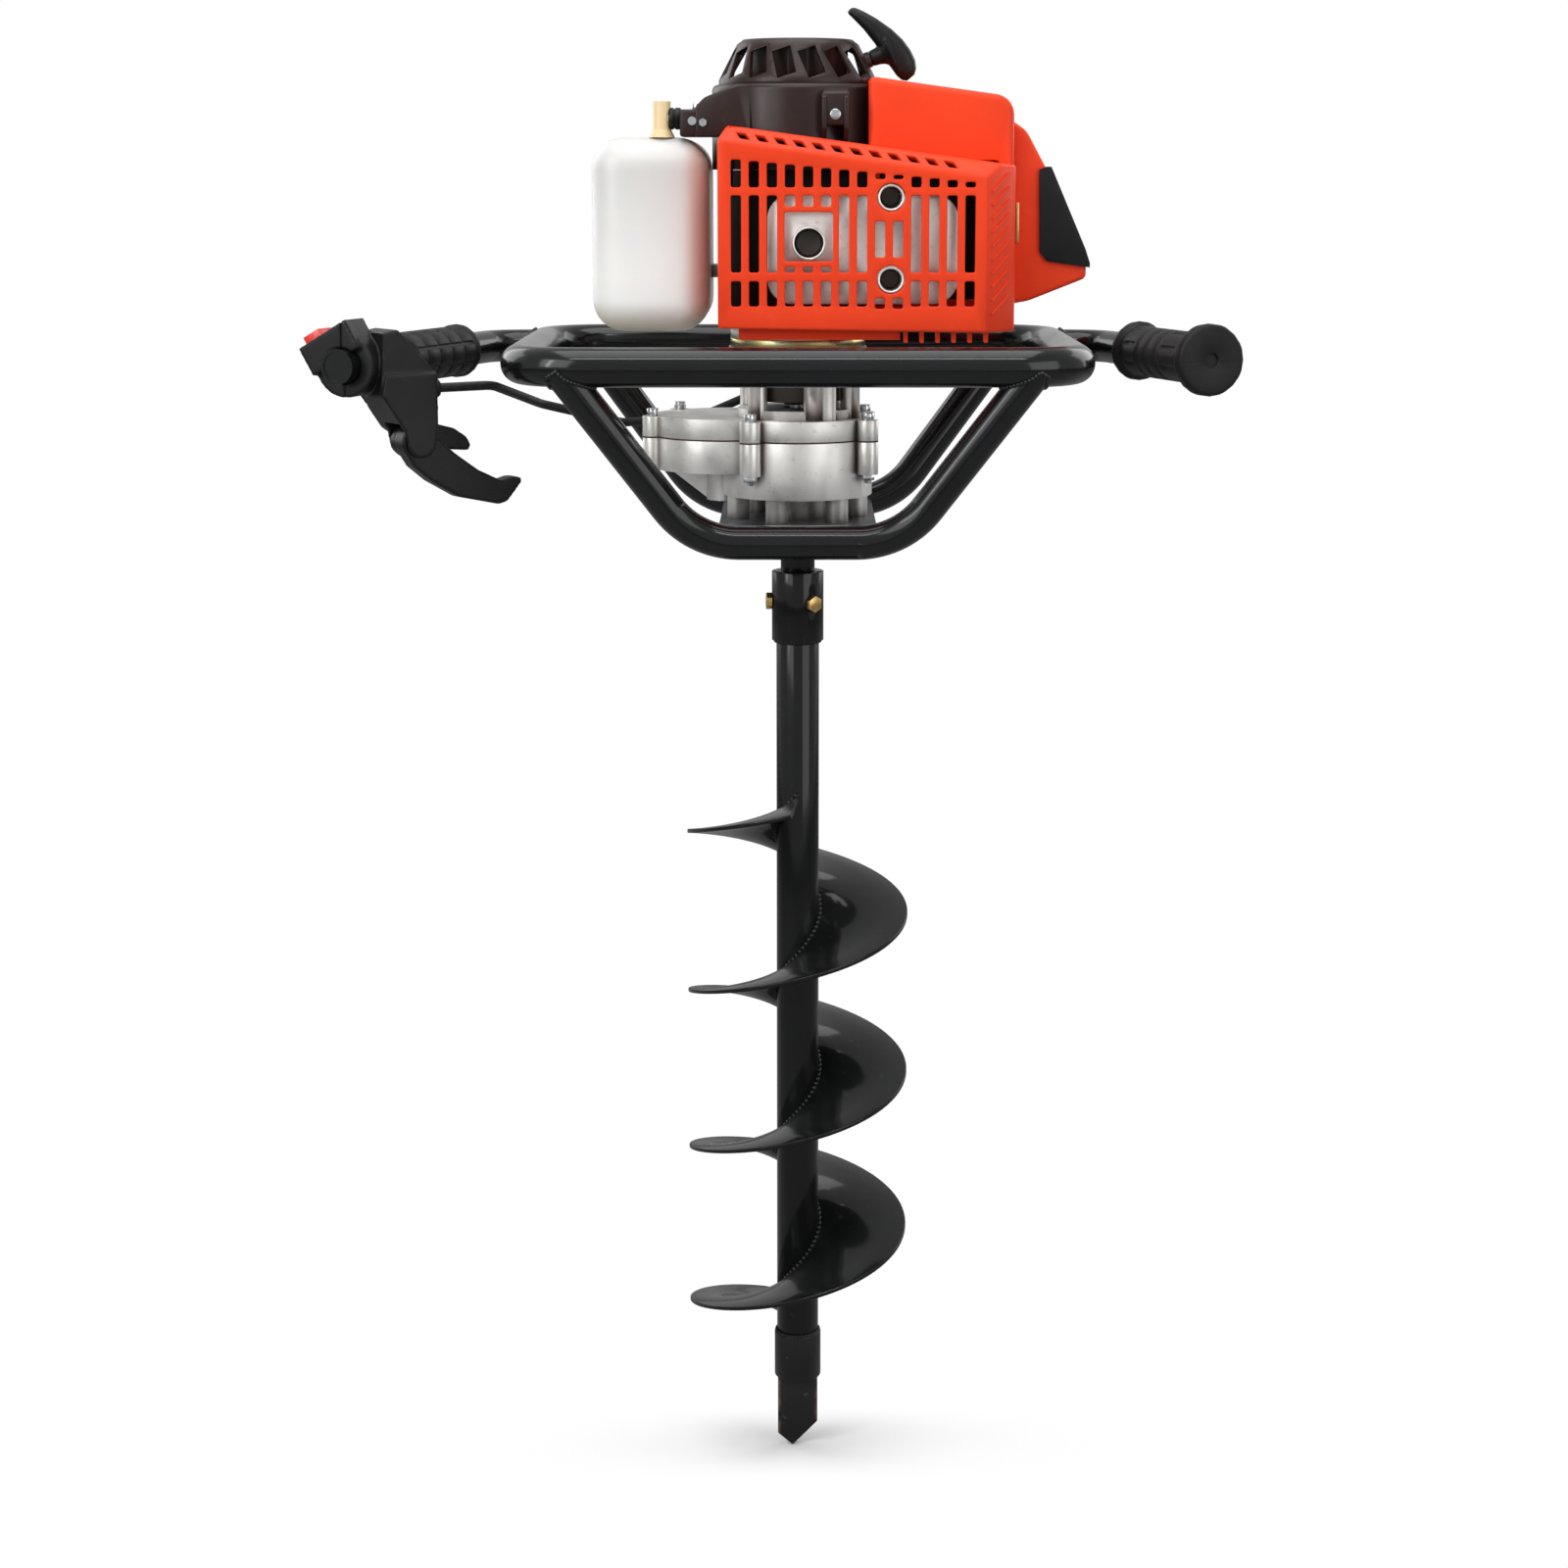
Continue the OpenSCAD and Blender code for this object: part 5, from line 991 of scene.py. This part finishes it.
# The fuel tank: a blow-moulded milky bottle, rounded all over, with a screw cap at the back and a cream
# rubber grommet for the fuel line on top.
tank_low, tank_high = Vector((-0.134, -0.057, 0.7936)), Vector((-0.057, 0.057, 0.9186))
tank_round = 0.021
warm_side = (-0.075, -0.057)
warm_foot = (0.812, 0.795)
top_shade_span = (0.83, 0.91)
tank_plastic, tree, shader = finish("milky_tank", specular=0.45)
spot = spot_on(tree)
place = wired(tree, "SeparateXYZ", {0: spot}).node.outputs
warm = worked(tree, "MAXIMUM", ranged(tree, place["X"], *warm_side), ranged(tree, place["Z"], *warm_foot))
# painted shade: the bottle's white darkens from its lower part up to its top
white = blended(tree, ranged(tree, place["Z"], *top_shade_span), (0.88, 0.88, 0.86), (0.64, 0.64, 0.63))
cloudy = wired(tree, "HueSaturation",
               {"Color": white, "Value": ranged(tree, noise_mask(tree, spot, 14), 0, 1, 0.97, 1.03)})
feed(tree, shader, {"Base Color": blended(tree, warm, cloudy, (0.68, 0.61, 0.5)), "Subsurface Weight": 0.5,
                    "Subsurface Radius": (0.02, 0.016, 0.012), "Subsurface Scale": 0.5,
                    "Roughness": ranged(tree, noise_mask(tree, spot, 40), 0, 1, 0.3, 0.42)})
relief(tree, shader, noise_mask(tree, spot, 60, detail=2), 0.06, 0.001)

tank_shape = bmesh.new()
bmesh.ops.create_cube(tank_shape, size=1)
for vert in tank_shape.verts:
    vert.co = Vector([tank_low[k] + (vert.co[k] + 0.5) * (tank_high[k] - tank_low[k]) for k in range(3)])
bmesh.ops.bevel(tank_shape, geom=list(tank_shape.edges), offset=tank_round, segments=8, profile=0.5,
                affect="EDGES")
stud(tank_shape, (-95.5, 54.5, 884.6), 14, 14, 18, 48)
stands_for(made("tank_bottle", tank_shape, tank_plastic, 50), "fuel_tank")
cream_rubber = plastic("cream_grommet", 0.08, Plastic=(0.74, 0.58, 0.32), Mark=(0.6, 0.42, 0.2), Marks=0.3,
                       Smoothest=0.35, Roughest=0.5, Texture=500)
eased("fuel_grommet", 0.0008, cream_rubber, 3)
eased("filler_cap", 0.0014, black_plastic, 3)


# The grips: soft black rubber pushed over the handle tubes, with grooves pressed in round and along them;
# the right one ends in a broad flange with a fine parting line across it.
grip_rubber = plastic("grip_rubber", 0.22, specular=0.24, Plastic=(0.007, 0.007, 0.0074),
                      Mark=(0.02, 0.02, 0.02), Marks=0.3, Smoothest=0.46, Roughest=0.62, Texture=1300)
groove_deep = 0.95
ring_half, ring_soft = 0.9, 0.45
line_half, line_soft = 4.0, 2.0
line_step = 45
line_turns = [line_step * (i + 0.5) for i in range(8)]


def steps_between(edges, soft):
    """Sample places along or round a grip: each groove's edge gets a short run of its own."""
    return {round(edge + soft * share, 4) for edge in edges for share in (-1, -0.4, 0.4, 1)}


def clear_of(value, grooves, half, soft):
    """0 in the middle of a groove, 1 away from all of them."""
    away = min(abs(value - g) for g in grooves)
    t = min(max((away - half + soft) / (2 * soft), 0), 1)
    return t * t * (3 - 2 * t)


def rubber_grip(name, start, way, profile, end, rings, line_spans, node):
    """A grip turned from a profile and an end of places and radii, with rings and lines pressed in."""
    up = Vector((0, 0, 1))
    beside = way.cross(up)
    ring_edges = [place + half for place in rings for half in (-ring_half, ring_half)]
    span_edges = [edge for span in line_spans for edge in span]
    line_edges = [turn + half for turn in line_turns for half in (-line_half, line_half)]
    places = {z for z, r in profile} | steps_between(ring_edges + span_edges, ring_soft)
    turns = sorted(steps_between(line_edges, line_soft) | {turn + line_step / 2 for turn in line_turns})
    shape = bmesh.new()

    def ring(z, radii):
        """One ring of points at a place along the grip."""
        return [shape.verts.new(start + (way * z + up * r * math.cos(math.radians(turn))
                                         + beside * r * math.sin(math.radians(turn))) / 1000)
                for turn, r in zip(turns, radii)]

    rows = []
    for z in sorted(places):
        below = max(q for q in profile if q[0] <= z)
        above = min(q for q in profile if q[0] >= z)
        share = 0 if above[0] == below[0] else (z - below[0]) / (above[0] - below[0])
        radius = below[1] + (above[1] - below[1]) * share
        in_span = max(1 - clear_of(z, [(a + b) / 2], (b - a) / 2, ring_soft) for a, b in line_spans)
        off_rings = clear_of(z, rings, ring_half, ring_soft)
        off_lines = [1 - in_span * (1 - clear_of(turn, line_turns, line_half, line_soft)) for turn in turns]
        rows.append(ring(z, [radius - groove_deep * (1 - min(off_rings, off)) for off in off_lines]))
    rows += [ring(z, [radius] * len(turns)) for z, radius in end]
    bridged(shape, rows)
    return stands_for(made(name, shape, grip_rubber, 50), node)


handle_turn = math.radians(19.5)
grip_x, grip_y = 0.231, 0.035
left_start, right_start = Vector((-grip_x, grip_y, hoop_z)), Vector((grip_x, grip_y, hoop_z))
left_way = Vector((-math.sin(handle_turn), -math.cos(handle_turn), 0))
right_way = Vector((math.sin(handle_turn), -math.cos(handle_turn), 0))
rubber_grip("left_grip_rubber", left_start, left_way,
            [(0, 14), (0.4, 16.4), (1.4, 17.6), (2.6, 18), (4.8, 18), (5.8, 17.5), (6.6, 17), (90, 17),
             (91.2, 16.6)],
            [(92, 15.2)], [23.5, 41.5, 59.5, 77.5], [(9, 90)], "left_grip")
rubber_grip("right_grip_rubber", right_start, right_way,
            [(0, 14), (0.5, 18.4), (1.6, 19.6), (3, 20), (5, 20), (6.4, 19.4), (7.6, 17.6), (9, 17), (91, 17),
             (95, 17.6), (98.2, 20.6), (99.4, 22.4), (101, 23.3), (102.6, 23.5), (107, 23.5), (108.8, 22.9),
             (109.7, 21.8)],
            [(110, 20.6), (110, 5.2), (109.6, 4.6), (108, 4.4)], [33.5, 47.5, 61.5], [(14, 28), (67, 86)],
            "right_grip")
end_face = right_start + right_way * 0.110
ridge_shape = bmesh.new()
for hand in (-1, 1):
    beside = right_way.cross(Vector((0, 0, hand)))
    corners = block((0.0058, 0.0205), (-0.0004, 0.0003), (-0.00035, 0.00035))
    added(ridge_shape, [(end_face + beside * r + right_way * d + Vector((0, 0, z))) * 1000
                        for r, d, z in corners], 0.1, 1)
fixed(made("grip_parting_line", ridge_shape, grip_rubber))


# The control: two moulded shells clamped on the left handle's end, with the throttle trigger and its lock on
# one pin, a red stop rocker on top and a red half-throttle button in front.
for node, voxel, turns in (("control_shell_inner", 0.0008, 9), ("control_shell_outer", 0.0008, 9),
                           ("throttle_trigger", 0.0007, 24), ("trigger_lock", 0.0007, 18)):
    moulding = whole(node + "_moulded", node_shape(node), black_plastic)
    stands_for(flowing(moulding, voxel, turns), node)
red_plastic = plastic("red_moulding", 0.06, Plastic=(0.78, 0.022, 0.012), Mark=(0.9, 0.12, 0.08), Marks=0.2,
                      Smoothest=0.26, Roughest=0.36, Texture=900)
eased("stop_switch", 0.0012, red_plastic, 3)
eased("half_throttle_button", 0.0008, red_plastic, 3)


# The throttle cable: a steel inner wire in a black sleeve, from the control under the hoop and behind the
# gearbox up to the carburettor.
cable_sleeve = mottled("cable_sleeve", 200, (0.01, 0.01, 0.011), (0.02, 0.02, 0.021), roughness=0.5,
                       low=0.35, specular=0.28)
tree = cable_sleeve.node_tree
relief(tree, tree.nodes["Principled BSDF"], noise_mask(tree, spot_on(tree), 800), 0.2, 0.0003)
eased("throttle_cable", 0, cable_sleeve)
